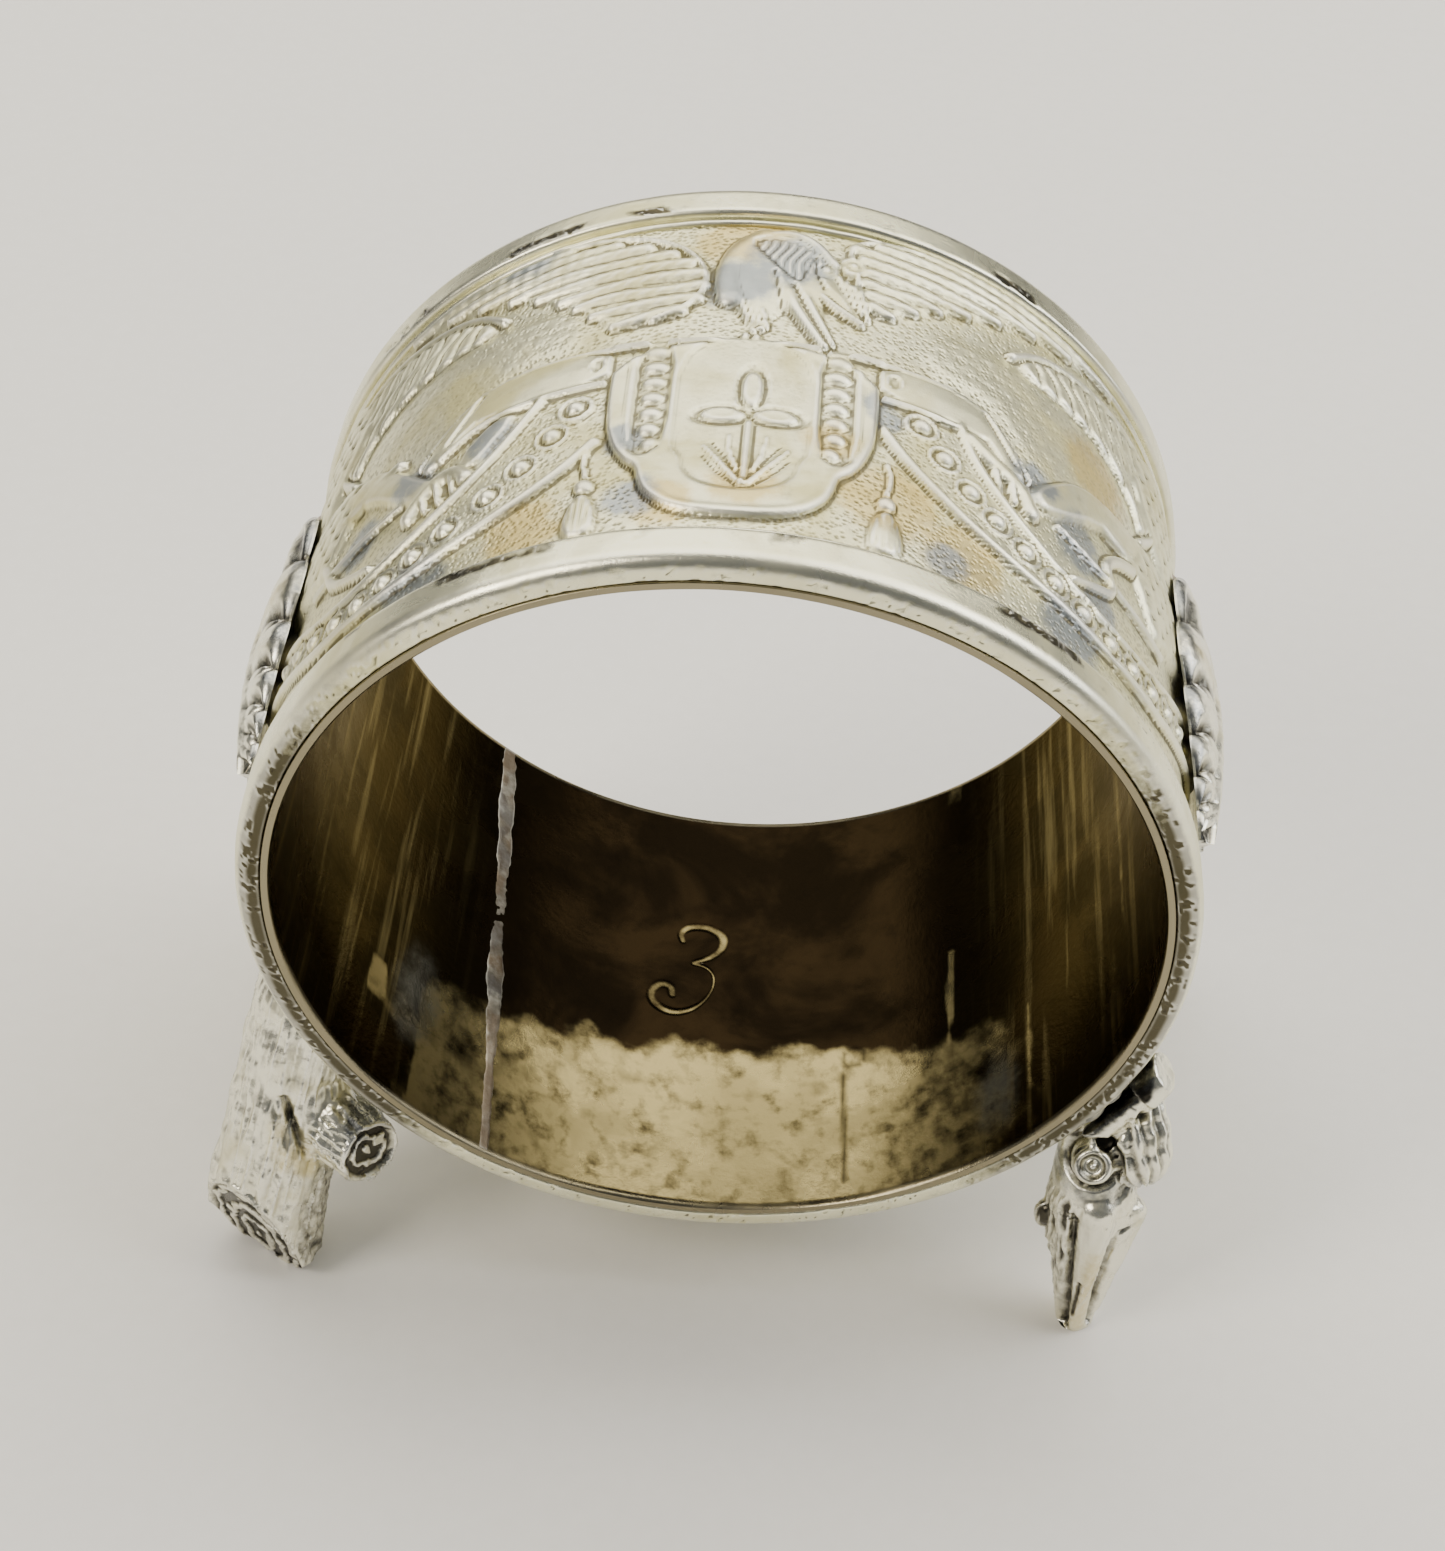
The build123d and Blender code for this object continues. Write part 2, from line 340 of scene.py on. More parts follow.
def chaseSash(field):
    m = frieze["shieldMiddle"]
    for side in (-1, 1):
        bend = -33.5 if side < 0 else 28.5
        drop = (-42.5, 12.2) if side < 0 else (35.5, 12.3)
        low = (-40.5, 11.6) if side < 0 else (32.0, 12.0)
        root = m + side * 15
        pad(field, [(root, 13.7), (root, 16.05), (bend, 16.0), (bend + side * 1.4, 15.6), drop, low,
                    (bend + side * 0.6, 13.6), (bend, 13.5)], 0.24, 0.3, 0.08, 1.2, rounds=1)
        bar(field, [(root, 13.55), (bend - side * 1.5, 13.55), (low[0] - side * 1.5, low[1] + 0.5)], 0.34,
            0.34)
        bar(field, [(root, 16.1), (bend, 16.1), (drop[0], drop[1] + 0.2)], 0.26, 0.33)
        groove(field, [(bend + side * 0.2, 15.4), (bend + side * 4.5, 12.9)], 0.34, 0.22)
        # the sash comes out of a roll behind the shield
        knot = (m + side * 17.6, 14.9)
        bead(field, knot, (0.62, 0.85), 0.42)
        bead(field, knot, (0.30, 0.50), -0.24, onTop=True)
        # tassel
        at = m + side * 17.2
        bar(field, [(at, 8.9), (at + side * 0.6, 7.9), (at, 6.8)], 0.30, 0.24)
        bead(field, (at, 6.05), (0.48, 0.52), 0.40)
        pad(field, [(at - 1.2, 5.5), (at + 1.2, 5.5), (at + 2.4, 2.7), (at - 2.4, 2.7)], 0.26, 0.35, 0.12,
            0.8)
        for turn in (-1.3, -0.45, 0.45, 1.3):
            groove(field, [(at + turn * 0.6, 5.2), (at + turn, 2.9)], 0.16, 0.07)


def chaseShield(field):
    m = frieze["shieldMiddle"]
    half = 15.9
    left = [(-half, 16.0), (-half, 10.6), (-half + 1.1, 8.6), (-13.0, 7.3), (-11.6, 6.9), (-11.2, 6.0),
            (-10.2, 4.9),
            (-7.2, 3.8), (-3.0, 3.4)]
    outline = [(m + x, y) for x, y in left] + [(m - x, y) for x, y in left[::-1]]
    near, depth = insideOf(field, outline)
    field["h"][near[depth > 0]] = 0
    near, depth = insideOf(field, curve(outline, closed=True, rounds=2))
    rim = frieze["shield"] * smooth(depth / 0.22 + 0.25) + 0.05 * smooth(1 - abs(depth - 0.35) / 0.35)
    field["h"][near] = np.where(depth > -0.1, np.maximum(rim, 0), field["h"][near])
    bar(field, [(m - half, 16.1), (m + half, 16.1)], 0.3, 0.42)
    # bead columns in their channels
    for side in (-1, 1):
        x = m + 0.2 + side * 10.7
        pad(field, [(x - 2.1, 16.3), (x + 2.1, 16.3), (x + 2.1, 8.4), (x + 0.4 * side, 7.5), (x - 2.1, 8.2)],
            0.13, 0.22, blend=True, rounds=1)
        for k in range(7):
            lean = side * -0.55 * max(0, k - 5)
            bead(field, (x + lean, 15.25 - k * frieze["beadPitch"]), (0.76 - 0.035 * k, 0.50), 0.42)
        groove(field, [(x + side * 3.2, 15.9), (x + side * 3.2, 9.6), (x + side * 1.6, 8.0)], 0.3, 0.05)
    # inner field, lower inside its border at the foot
    inner = [(-7.9, 16.4), (-7.9, 8.2), (-6.6, 7.4), (-6.3, 6.4), (-4.4, 5.5), (0, 5.1)]
    innerOutline = [(m + 0.2 + x, y) for x, y in inner] + [(m + 0.2 - x, y) for x, y in inner[-2::-1]]
    pad(field, innerOutline, 0.22, 0.3, blend=True)
    bar(field, [(m - 8.1, 16), (m - 8.1, 8.3)], 0.22, 0.30)
    bar(field, [(m + 8.5, 16), (m + 8.5, 8.3)], 0.22, 0.30)
    flower(field, m + 0.9)


def flower(field, x):
    # petals and leaves are raised inside a chased outline
    for px, py, sx, sy in ((0.1, 12.5, 0.56, 1.45), (-3.1, 10.45, 1.10, 0.60), (3.1, 10.5, 1.10, 0.60)):
        near = np.abs(np.hypot((field["s"] - (x + px) * degree) / sx, (field["v"] - py) / sy) - 1) < 0.4
        away = np.hypot((field["s"][near] - (x + px) * degree) / sx, (field["v"][near] - py) / sy)
        field["h"][near] -= 0.13 * smooth(1 - np.abs(away - 1.08) * min(sx, sy) / 0.2)
        bead(field, (x + px, py), (sx * 0.92, sy * 0.92), 0.17, onTop=True)
        bead(field, (x + px, py), (sx * 0.5, sy * 0.55), -0.06, onTop=True)
    bead(field, (x, 10.6), (0.34, 0.34), 0.14, onTop=True)
    for gap in (-0.75, 0.75):
        groove(field, [(x + gap, 9.8), (x + gap, 6.4)], 0.22, 0.10)
    bar(field, [(x, 10.2), (x - 0.1, 5.5)], 0.36, 0.15, onTop=True)
    for side in (-1, 1):
        bar(field, [(x + side * 0.5, 5.6), (x + side * 2.8, 7.0), (x + side * 4.7, 8.1)], 0.36, 0.17, 0.5,
            onTop=True)
        bar(field, [(x + side * 0.9, 6.6), (x + side * 1.9, 7.7), (x + side * 2.1, 8.9)], 0.28, 0.14, 0.5,
            onTop=True)
        groove(field, [(x + side * 0.9, 5.5), (x + side * 3.4, 6.5), (x + side * 4.9, 7.5)], 0.22, 0.10)
        groove(field, [(x + side * 1.3, 6.6), (x + side * 2.7, 7.7), (x + side * 3.8, 8.4)], 0.22, 0.10)


wings = {
    # each feather row from the wing's shoulder to its tip
    -1: [(-9.5, 18.7, -17.5, 18.0), (-7.6, 19.6, -20.5, 19.2), (-7.1, 20.6, -22.8, 20.2),
         (-7.4, 21.6, -25.2, 21.1),
         (-8.8, 22.5, -28.5, 22.1), (-11.2, 23.3, -32.5, 22.9), (-14.5, 24.1, -37.5, 23.7),
         (-18.5, 24.7, -43, 24.5),
         (-25, 25.2, -50, 25.2)],
    1: [(13.4, 20.4, 16.2, 20.1), (13.0, 21.3, 19.2, 21.1), (12.9, 22.2, 22.4, 21.9),
        (13.0, 23.1, 26.4, 22.7),
        (12.4, 24.0, 31, 23.5), (11.4, 24.8, 36.5, 24.3), (14.5, 25.4, 43, 25.0), (21, 25.9, 52, 25.6)],
    "width": 0.92, "height": 0.38, "barb": 0.8, "barbDepth": 0.05,
}


def chaseUpperWings(field):
    for side in (-1, 1):
        rows = wings[side]
        outline = [(x, y) for x, y, _, _ in rows] + [(x, y) for _, _, x, y in rows[::-1]]
        pad(field, outline, 0.12, 0.4, rounds=1)
        for k, (x0, y0, x1, y1) in enumerate(rows):
            sag = 0.16 * sin(2.1 * k + 0.7)
            line = [(x0, y0), (0.66 * x0 + 0.34 * x1, 0.6 * y0 + 0.4 * y1 + sag),
                    (0.3 * x0 + 0.7 * x1, 0.3 * y0 + 0.7 * y1 - sag), (x1, y1 - 0.1)]
            near, gap, place = gapTo(field, curve(line), wings["width"])
            half = wings["width"] / 2 * (1 - 0.45 * place ** 3)
            # barbs slope back from the quill, and the row is cut short by its own tip
            slant = field["s"][near] * side - 1.3 * gap
            barbs = 0.5 + 0.5 * np.cos(2 * pi * slant / wings["barb"])
            rise = (wings["height"] - wings["barbDepth"] * barbs * smooth(gap / 0.2)) * np.sqrt(
                np.clip(1 - (gap / half) ** 2, 0, 1))
            field["h"][near] = np.maximum(field["h"][near], rise)
        shoulder = [(-12.5, 18.0), (-8.6, 18.8), (-6.5, 20.4), (-6.8, 22.0), (-9.0, 23.5), (-13, 24.6),
                    (-19, 25.3),
                    (-27, 25.6)] if side < 0 else [(11.5, 20.4), (12.2, 22.0), (10.2, 24.7), (13.4, 25.7),
                                                   (20, 26.0)]
        bar(field, shoulder, 0.34, 0.36)


def chaseCentreBird(field):
    body = [(-5.1, 20.8), (-5.3, 22.8), (-3.8, 24.5), (-0.5, 25.3), (3.5, 25.4), (6.8, 24.7), (8.9, 23.4),
            (10.2, 21.8),
            (11.8, 20.2), (12.6, 18.9), (10.6, 18.9), (8.4, 19.9), (7.2, 19.2), (9.2, 16.6), (7.8, 16.2),
            (5.4, 17.6),
            (3.4, 19.0), (2.0, 18.2), (0.2, 17.1), (-1.6, 17.8), (-3.6, 19.3)]
    near, depth = insideOf(field, curve(body, closed=True))
    field["h"][near] = np.where(depth > -0.3, -0.03, field["h"][near])
    field["h"][near] = np.maximum(field["h"][near], 0.47 * np.sqrt(smooth(depth / 1.5 + 0.08)) * (depth > 0))
    # the bowed neck is a smooth roll that leads down into the bill
    bar(field, [(-3.4, 19.6), (-3.9, 21.4), (-2.9, 23.4), (0.2, 24.6)], 1.5, 0.50)
    bar(field, [(0.2, 24.6), (3.6, 24.9), (6.4, 24.3), (8.6, 22.9)], 0.80, 0.50)
    # hatched ruff sunk inside the neck
    ruff = [(-1.8, 23.9), (0.8, 24.4), (4.2, 24.3), (6.9, 23.6), (5.9, 22.3), (5.0, 20.9), (3.8, 21.0),
            (1.2, 22.3)]
    near, depth = insideOf(field, curve(ruff, closed=True, rounds=1))
    hatch = 0.5 + 0.5 * np.cos(2 * pi * (field["s"][near] - 0.2 * field["v"][near]) / 0.44 +
                               2 * np.sin(2.3 * field["v"][near]))
    sunk = 0.31 + 0.10 * hatch * smooth((depth - 0.05) / 0.2)
    mix = smooth(depth / 0.16 + 0.3)
    field["h"][near] = field["h"][near] * (1 - mix) + sunk * mix
    # cheek: an almond lid round a small eye
    bead(field, (7.7, 22.1), (0.75, 0.95), 0.50, slope=-0.4)
    bead(field, (7.6, 22.1), (0.48, 0.66), -0.16, onTop=True, slope=-0.4)
    bead(field, (7.7, 22.3), (0.22, 0.26), 0.14, onTop=True)
    groove(field, [(6.3, 23.2), (6.6, 21.6), (7.7, 20.6)], 0.26, 0.16)
    bead(field, (11.1, 23.2), (0.85, 0.86), 0.40)
    bead(field, (11.1, 23.2), (0.50, 0.50), -0.16, onTop=True)
    bead(field, (11.1, 23.25), (0.20, 0.22), 0.12, onTop=True)
    for k in range(4):
        bar(field, [(9.4 + 0.9 * k, 21.9 - 0.25 * k), (10.6 + 0.9 * k, 20.3 - 0.35 * k)], 0.5, 0.42, 0.5)
    bar(field, [(7.4, 20.2), (9.6, 19.4), (12.5, 18.7)], 0.50, 0.44, 0.3)
    # bill: two halves with a dark line between
    bar(field, [(2.4, 21.0), (4.6, 18.8), (8.0, 16.4)], 0.84, 0.50, 0.35)
    bar(field, [(4.6, 20.8), (6.6, 18.9), (8.9, 16.7)], 0.62, 0.47, 0.3)
    groove(field, [(3.8, 20.7), (6.0, 18.6), (8.4, 16.6)], 0.24, 0.26)
    groove(field, [(1.6, 21.6), (2.2, 20.0), (2.9, 18.7)], 0.24, 0.16)
    for k in range(4):
        bar(field, [(-2.2 + 0.9 * k, 19.4 - 0.3 * k), (-1.2 + 0.8 * k, 17.9 - 0.2 * k)], 0.4, 0.42, 0.4)
    for x, y in ((-0.4, 17.0), (0.5, 17.2), (-1.2, 16.6), (0.1, 16.5)):
        bead(field, (x, y), (0.22, 0.22), 0.30)


beasts = {
    # the two sides were chased by hand and differ in the legs
    "shin": {-1: ((58, 15.6), (51, 15.2), (46, 13.4), (42, 11.6), (38.5, 10.4), (40.5, 9.3), (46, 10.9),
                  (51, 12.8), (57, 13.9)),
             1: ((58, 15.9), (50, 15.7), (43, 15.1), (39, 13.6), (35.6, 12.0), (37, 10.9), (42, 11.9),
                 (47, 13.4), (57, 14.2))},
    "paw": {-1: (-39.2, 9.6), 1: (31.8, 11.1)},
    "toes": {-1: ((-42.6, 8.9), (-39.8, 10.3), (-36.2, 10.6), (-34.4, 9.7)),
             1: ((35.6, 10.3), (34.2, 11.4), (29.8, 12.2), (26.8, 13.0))},
    "hind": {-1: ((63, 12.6), (60, 10.8), (57.8, 9.0), (53, 7.8), (48.6, 7.2)),
             1: ((55, 13.2), (50.5, 12.2), (48.6, 10.9), (50.6, 9.6), (46.5, 8.7), (42.2, 7.9))},
    "strap": {-1: ((31, 13.4), (28.0, 13.0), (34.2, 9.9), (36.4, 11.3)),
              1: ((24.6, 13.8), (27.6, 13.9), (31.8, 12.1), (29.2, 11.9))},
}


def chaseBeasts(field):
    # a crouching winged beast fills each side, its paw on the strap and its wing towards the rim
    for side in (-1, 1):
        def drawn(*points):
            # a line drawn for the right side, mirrored for the left
            return [(side * x, y) for x, y in points]

        # the smooth flank that the wing folds over
        flank = drawn((22, 20.3), (30, 20.6), (38, 20.8), (48, 20.0), (56, 18.4), (58, 16.8), (50, 15.6),
                      (44, 14.0), (38, 13.0), (33, 15.4), (29, 16.9), (20, 17.0))
        pad(field, flank, 0.10, 1.2, 0.05, 2)
        scales(field, flank, 0.9, 0.035)
        wing = drawn((33, 21.2), (37, 22.6), (43, 23.4), (51, 23.9), (58, 23.9), (63, 23.2), (64.6, 21.6),
                     (63, 19.0), (58.6, 17.0), (56, 18.9), (50, 20.1), (42, 20.4), (36, 20.3))
        near, depth = insideOf(field, curve(wing, closed=True))
        row = field["s"][near] * side * 0.82 + field["v"][near] * 0.57
        barb = np.abs(np.sin(pi * (row + 0.12 * np.sin(4 * field["v"][near])) / 0.92))
        rise = smooth(depth / 0.4) * (0.12 + 0.20 * np.sqrt(barb))
        field["h"][near] = np.maximum(field["h"][near], np.where(depth > 0, rise, 0))
        bar(field, drawn((33, 21.4), (37, 22.7), (43, 23.4), (51, 23.9), (58, 23.9), (63.2, 23.2),
                         (64.8, 21.4), (62.8, 18.6), (58.2, 16.6)), 0.62, 0.36)
        # body, haunch and legs
        body = drawn((53, 15.9), (62, 16.9), (74, 17.6), (90, 17.8), (90, 13.2), (76, 12.6), (66, 11.8),
                     (62, 10.6), (59, 11.8), (55, 13.6))
        pad(field, body, 0.26, 0.7, 0.18, 2.0)
        scales(field, body, 1.1, 0.12)
        bar(field, drawn((46.5, 13.9), (53, 13.6), (63, 13.7), (72, 14.4)), 0.9, 0.44, 0.2)
        shin = drawn(*beasts["shin"][side])
        pad(field, shin, 0.30, 0.5, 0.14, 1.0)
        paw, toes = beasts["paw"][side], beasts["toes"][side]
        bar(field, toes, 1.05, 0.44)
        for k in range(3):
            bar(field, [(paw[0] - 1.6 + 2.2 * k, paw[1] + 0.5), (paw[0] - 0.9 + 2.2 * k, paw[1] - 0.8)],
                0.5, 0.42, 0.3)
        hind = drawn(*beasts["hind"][side])
        bar(field, hind, 0.85, 0.42, 0.45)
        bar(field, drawn((63, 10.2), (56, 10.1), (48, 10.2), (40, 10.8)), 0.62, 0.34, 0.4)
        # chest and bowed head beyond the wing
        chest = drawn((57, 21.9), (60, 24.6), (66, 25.0), (72, 23.6), (76, 20.6), (80, 18.8), (88, 18.6),
                      (88, 17.4), (72, 17.2), (64, 17.9), (58.6, 19.2))
        pad(field, chest, 0.24, 0.6, 0.22, 1.6)
        scales(field, chest, 1.0, 0.12)
        bar(field, drawn((57.6, 21.0), (60.4, 19.3), (66, 18.4), (74, 18.6)), 1.3, 0.45, 0.3)
        bead(field, (side * 62.5, 23.6), (1.5, 0.9), 0.44, slope=0.5 * side)
        for k in range(4):
            bar(field, drawn((66 + 4.5 * k, 24.6 - 0.5 * k), (70 + 4.5 * k, 21.8 - 0.5 * k)), 0.8, 0.36, 0.3)
        # blue-backed strap end between sash and paw
        strap = drawn(*beasts["strap"][side])
        pad(field, strap, 0.20, 0.3, 0.04, 0.6, rounds=1)


def makeFrieze(name, material):
    # half of the frieze, struck flat, then rolled
    low = (rimHigh.y - ring["front"]) / mm - 0.05
    high = (ring["back"] - ring["front"] - ring["rimWidth"]) / mm + 0.05
    columns = round(180 * degree / frieze["cell"])
    rows = round((high - low) / frieze["cell"])
    bm = flatGrid(columns, rows)
    rimEdges = [e for e in bm.edges if e.is_boundary]
    skirt = bmesh.ops.extrude_edge_only(bm, edges=rimEdges)["geom"]
    skirtVerts = [g for g in skirt if isinstance(g, bmesh.types.BMVert)]
    bmesh.ops.translate(bm, vec=(0, 0, -1), verts=skirtVerts)
    footEdges = [g for g in skirt if isinstance(g, bmesh.types.BMEdge) and g.is_boundary]
    longEdges = [e for e in footEdges if abs(e.verts[0].co.y - e.verts[1].co.y) < 1e-6]
    bmesh.ops.bridge_loops(bm, edges=longEdges)
    openEdges = [e for e in bm.edges if e.is_boundary]
    bmesh.ops.holes_fill(bm, edges=openEdges, sides=0)
    bmesh.ops.recalc_face_normals(bm, faces=bm.faces)
    bm.verts.ensure_lookup_table()
    flat = np.array([v.co for v in bm.verts])
    isTop = flat[:, 2] > -0.5
    field = {"s": (flat[:, 0] - 0.5) * 180 * degree, "v": low + flat[:, 1] * (high - low),
             "h": np.zeros(len(flat))}
    chaseBeasts(field)
    chaseStraps(field)
    chaseUpperWings(field)
    chaseSash(field)
    chaseShield(field)
    chaseCentreBird(field)
    worn = grain(flat * (180 * degree * mm, (high - low) * mm, 0), 2.2, 3, seed=3)
    stipple = grain(flat * (180 * degree * mm, (high - low) * mm, 0), 0.33, 1, seed=8)
    bare = smooth(1 - field["h"] / 0.08)
    height = field["h"] + 0.015 * worn + 0.014 * stipple * (0.2 + 0.8 * bare)
    height = np.clip(height, -0.05, 0.54)
    radius = np.where(isTop, ring["ground"] / mm + height, ring["ground"] / mm - 0.45)
    turn = np.radians(field["s"] / degree)
    co = np.stack((radius * mm * np.sin(turn), ring["front"] + field["v"] * mm,
                   ring["height"] + radius * mm * np.cos(turn)), 1)
    for vert, place in zip(bm.verts, co):
        vert.co = place
    piece = finishPiece(bm, name, material, ["band"])
    ageMesh(piece)
    addAttribute(piece, "relief", np.where(isTop, height, 0))
    blue = np.zeros(len(flat))
    for centre, reach in (((3.6, 22.6), 2.6), ((-2.5, 20.5), 2.2), ((-31.5, 11.9), 1.7), ((-43, 11.6), 1.6),
                          ((-53, 10.4), 2),
                            ((36, 12.8), 1.8), ((44, 10.9), 2.2), ((48, 8.0), 1.6), ((42, 4.2), 2.4),
                            ((-40, 3.2), 2.6),
                            ((-12.5, 5.0), 1.6), ((15.8, 12.5), 1.4), ((24, 3.9), 1.4), ((-14, 9), 1.2),
                            ((-30, 25.8), 2)):
        blue = np.maximum(blue, spot(field, centre, reach))
    addAttribute(piece, "blueing", blue)
    gold = np.zeros(len(flat))
    for centre, reach in (((17, 6.5), 3.0), ((26, 4.6), 2.6), ((-9, 4.4), 1.8), ((9.5, 9.5), 1.6),
                          ((0, 5.6), 2.0), ((-2, 24.6), 3),
                            ((48, 17.5), 3.0), ((-25, 4.2), 2.4)):
        gold = np.maximum(gold, spot(field, centre, reach))
    addAttribute(piece, "goldingAndSheen", gold)
    return piece


# materials

def linear(hexCode):
    # sRGB hex to the linear colour that Blender works in
    parts = [int(hexCode[i:i + 2], 16) / 255 for i in (1, 3, 5)]
    return tuple(c / 12.92 if c <= 0.04045 else ((c + 0.055) / 1.055) ** 2.4 for c in parts) + (1,)


def put(tree, kind, inputs=None, **settings):
    # adds one node with its settings, and links or values for its inputs
    node = tree.nodes.new(kind)
    for key, value in settings.items():
        setattr(node, key, value)
    for key, value in (inputs or {}).items():
        if isinstance(value, bpy.types.NodeSocket):
            tree.links.new(value, node.inputs[key])
        else:
            node.inputs[key].default_value = value
    return node


def startMaterial(name):
    material = bpy.data.materials.new(name)
    material.use_nodes = True
    tree = material.node_tree
    shader = tree.nodes["Principled BSDF"]
    return material, tree, shader


def plateMaterial(name, look):
    # plated metal: its colour goes from rubbed silver through warm tarnish to near black sulphide in
    # the hollows, with blue-grey and golden patches, and the roughness follows the tarnish
    material, tree, shader = startMaterial(name)
    place = put(tree, "ShaderNodeTexCoord").outputs["Object"]
    # broad tarnish clouds and smaller mottling
    broad = put(tree, "ShaderNodeTexNoise", {"Vector": place, "Scale": 1 / (look["cloud"] * mm), "Detail": 4,
                                              "Roughness": 0.6, "Distortion": 0.4}).outputs["Fac"]
    mottle = put(tree, "ShaderNodeTexNoise", {"Vector": place, "Scale": 1 / (look["mottle"] * mm),
                                              "Detail": 5,
                                               "Roughness": 0.65}).outputs["Fac"]
    warmth = put(tree, "ShaderNodeMapRange", {0: broad, 1: look["warmFrom"], 2: look["warmTo"]},
                 interpolation_type="SMOOTHSTEP").outputs[0]
    colour = put(tree, "ShaderNodeMix", {0: warmth, 6: linear(look["rubbed"]), 7: linear(look["warm"])},
                 data_type="RGBA").outputs[2]
    fleck = put(tree, "ShaderNodeMapRange", {0: mottle, 1: 0.52, 2: 0.78, 4: look["fleck"]}).outputs[0]
    colour = put(tree, "ShaderNodeMix", {0: fleck, 6: colour, 7: linear(look["brown"])},
                 data_type="RGBA").outputs[2]
    # golden and blue-grey patches; on the bore the golden one also carries painted light low at the front
    for label, shade, strength in (("goldingAndSheen", "gold", look["goldingAndSheen"]),
                                   ("blueing", "blue", look["blueing"])):
        patch = put(tree, "ShaderNodeAttribute", attribute_name=label).outputs["Fac"]
        broken = put(tree, "ShaderNodeMath", {0: patch, 1: mottle}, operation="MULTIPLY").outputs[0]
        amount = put(tree, "ShaderNodeMapRange", {0: broken, 1: 0.10, 2: 0.44, 4: strength},
                     interpolation_type="SMOOTHSTEP").outputs[0]
        colour = put(tree, "ShaderNodeMix", {0: amount, 6: colour, 7: linear(look[shade])},
                     data_type="RGBA").outputs[2]
    # stains and painted shade: real stains, and the shade painted on the rim ends, the sawn log ends and the
    # log's far side, darken towards the stain colour
    grimeAndShade = put(tree, "ShaderNodeAttribute", attribute_name="grimeAndShade").outputs["Fac"]
    grimeAndShadeAmount = put(tree, "ShaderNodeMath", {0: mottle, 1: -0.5}, operation="ADD").outputs[0]
    grimeAndShadeAmount = put(tree, "ShaderNodeMath", {0: grimeAndShadeAmount, 1: 1.1, 2: grimeAndShade}, operation="MULTIPLY_ADD").outputs[0]
    grimeAndShadeAmount = put(tree, "ShaderNodeMapRange", {0: grimeAndShadeAmount, 1: 0.12, 2: 0.85,
                                             4: look.get("grimeAndShade", 0.8)}).outputs[0]
    colour = put(tree, "ShaderNodeMix", {0: grimeAndShadeAmount, 6: colour,
                                         7: linear(look.get("grimeAndShadeColour", look["brown"]))},
                 data_type="RGBA").outputs[2]
    if "streak" in look:
        # cloth drawn through the bore left long fine lines along it
        drawn = put(tree, "ShaderNodeMapping", {"Vector": place, "Scale": (1, 0.05, 1)}).outputs[0]
        lines = put(tree, "ShaderNodeTexNoise", {"Vector": drawn, "Scale": 1 / (look["streak"] * mm),
                                                 "Detail": 3,
                                                  "Roughness": 0.6}).outputs["Fac"]
        lines = put(tree, "ShaderNodeMapRange", {0: lines, 1: 0.52, 2: 0.78, 4: 0.5}).outputs[0]
        sides = put(tree, "ShaderNodeAttribute", attribute_name="streaking").outputs["Fac"]
        lines = put(tree, "ShaderNodeMath", {0: lines, 1: sides}, operation="MULTIPLY").outputs[0]
        colour = put(tree, "ShaderNodeMix", {0: lines, 6: colour, 7: linear(look["gold"])},
                     data_type="RGBA").outputs[2]
    # sulphide packed in the hollows, fine ones first
    fine = put(tree, "ShaderNodeAttribute", attribute_name="fineHollow").outputs["Fac"]
    wide = put(tree, "ShaderNodeAttribute", attribute_name="wideHollow").outputs["Fac"]
    fineDark = put(tree, "ShaderNodeMapRange", {0: fine, 1: look["fine"][0], 2: look["fine"][1]},
                   interpolation_type="SMOOTHSTEP").outputs[0]
    wideDark = put(tree, "ShaderNodeMapRange", {0: wide, 1: look["wide"][0], 2: look["wide"][1]},
                   interpolation_type="SMOOTHSTEP").outputs[0]
    hollow = put(tree, "ShaderNodeMath", {0: fineDark, 1: wideDark}, operation="MAXIMUM").outputs[0]
    packed = put(tree, "ShaderNodeMath", {0: hollow, 1: look["packed"]}, operation="MULTIPLY").outputs[0]
    colour = put(tree, "ShaderNodeMix", {0: packed, 6: colour, 7: linear(look["sulphide"])},
                 data_type="RGBA").outputs[2]
    # proud edges are rubbed bright
    rubbed = put(tree, "ShaderNodeMapRange", {0: fine, 1: look["edge"][0], 2: look["edge"][1],
                                              4: look["rub"]},
                 interpolation_type="SMOOTHSTEP").outputs[0]
    colour = put(tree, "ShaderNodeMix", {0: rubbed, 6: colour, 7: linear(look["bright"])},
                 data_type="RGBA").outputs[2]
    tree.links.new(colour, shader.inputs["Base Color"])
    dullness = put(tree, "ShaderNodeMath", {0: packed, 1: warmth}, operation="ADD", use_clamp=True).outputs[0]
    rough = put(tree, "ShaderNodeMapRange", {0: dullness, 3: look["gloss"], 4: look["dull"]}).outputs[0]
    tree.links.new(rough, shader.inputs["Roughness"])
    shader.inputs["Metallic"].default_value = 1.0
    shader.inputs["Specular Tint"].default_value = linear(look.get("edgeTint", "#ffffff"))
    # handling scratches and casting grain, too fine for the mesh
    scratch = put(tree, "ShaderNodeTexNoise", {"Vector": place, "Scale": 1 / (look["grain"] * mm),
                                               "Detail": 6,
                                                "Roughness": 0.7}).outputs["Fac"]
    bump = put(tree, "ShaderNodeBump", {"Height": scratch, "Strength": look["bump"],
                                        "Distance": look["grain"] * mm * 0.4})
    if "punch" in look:
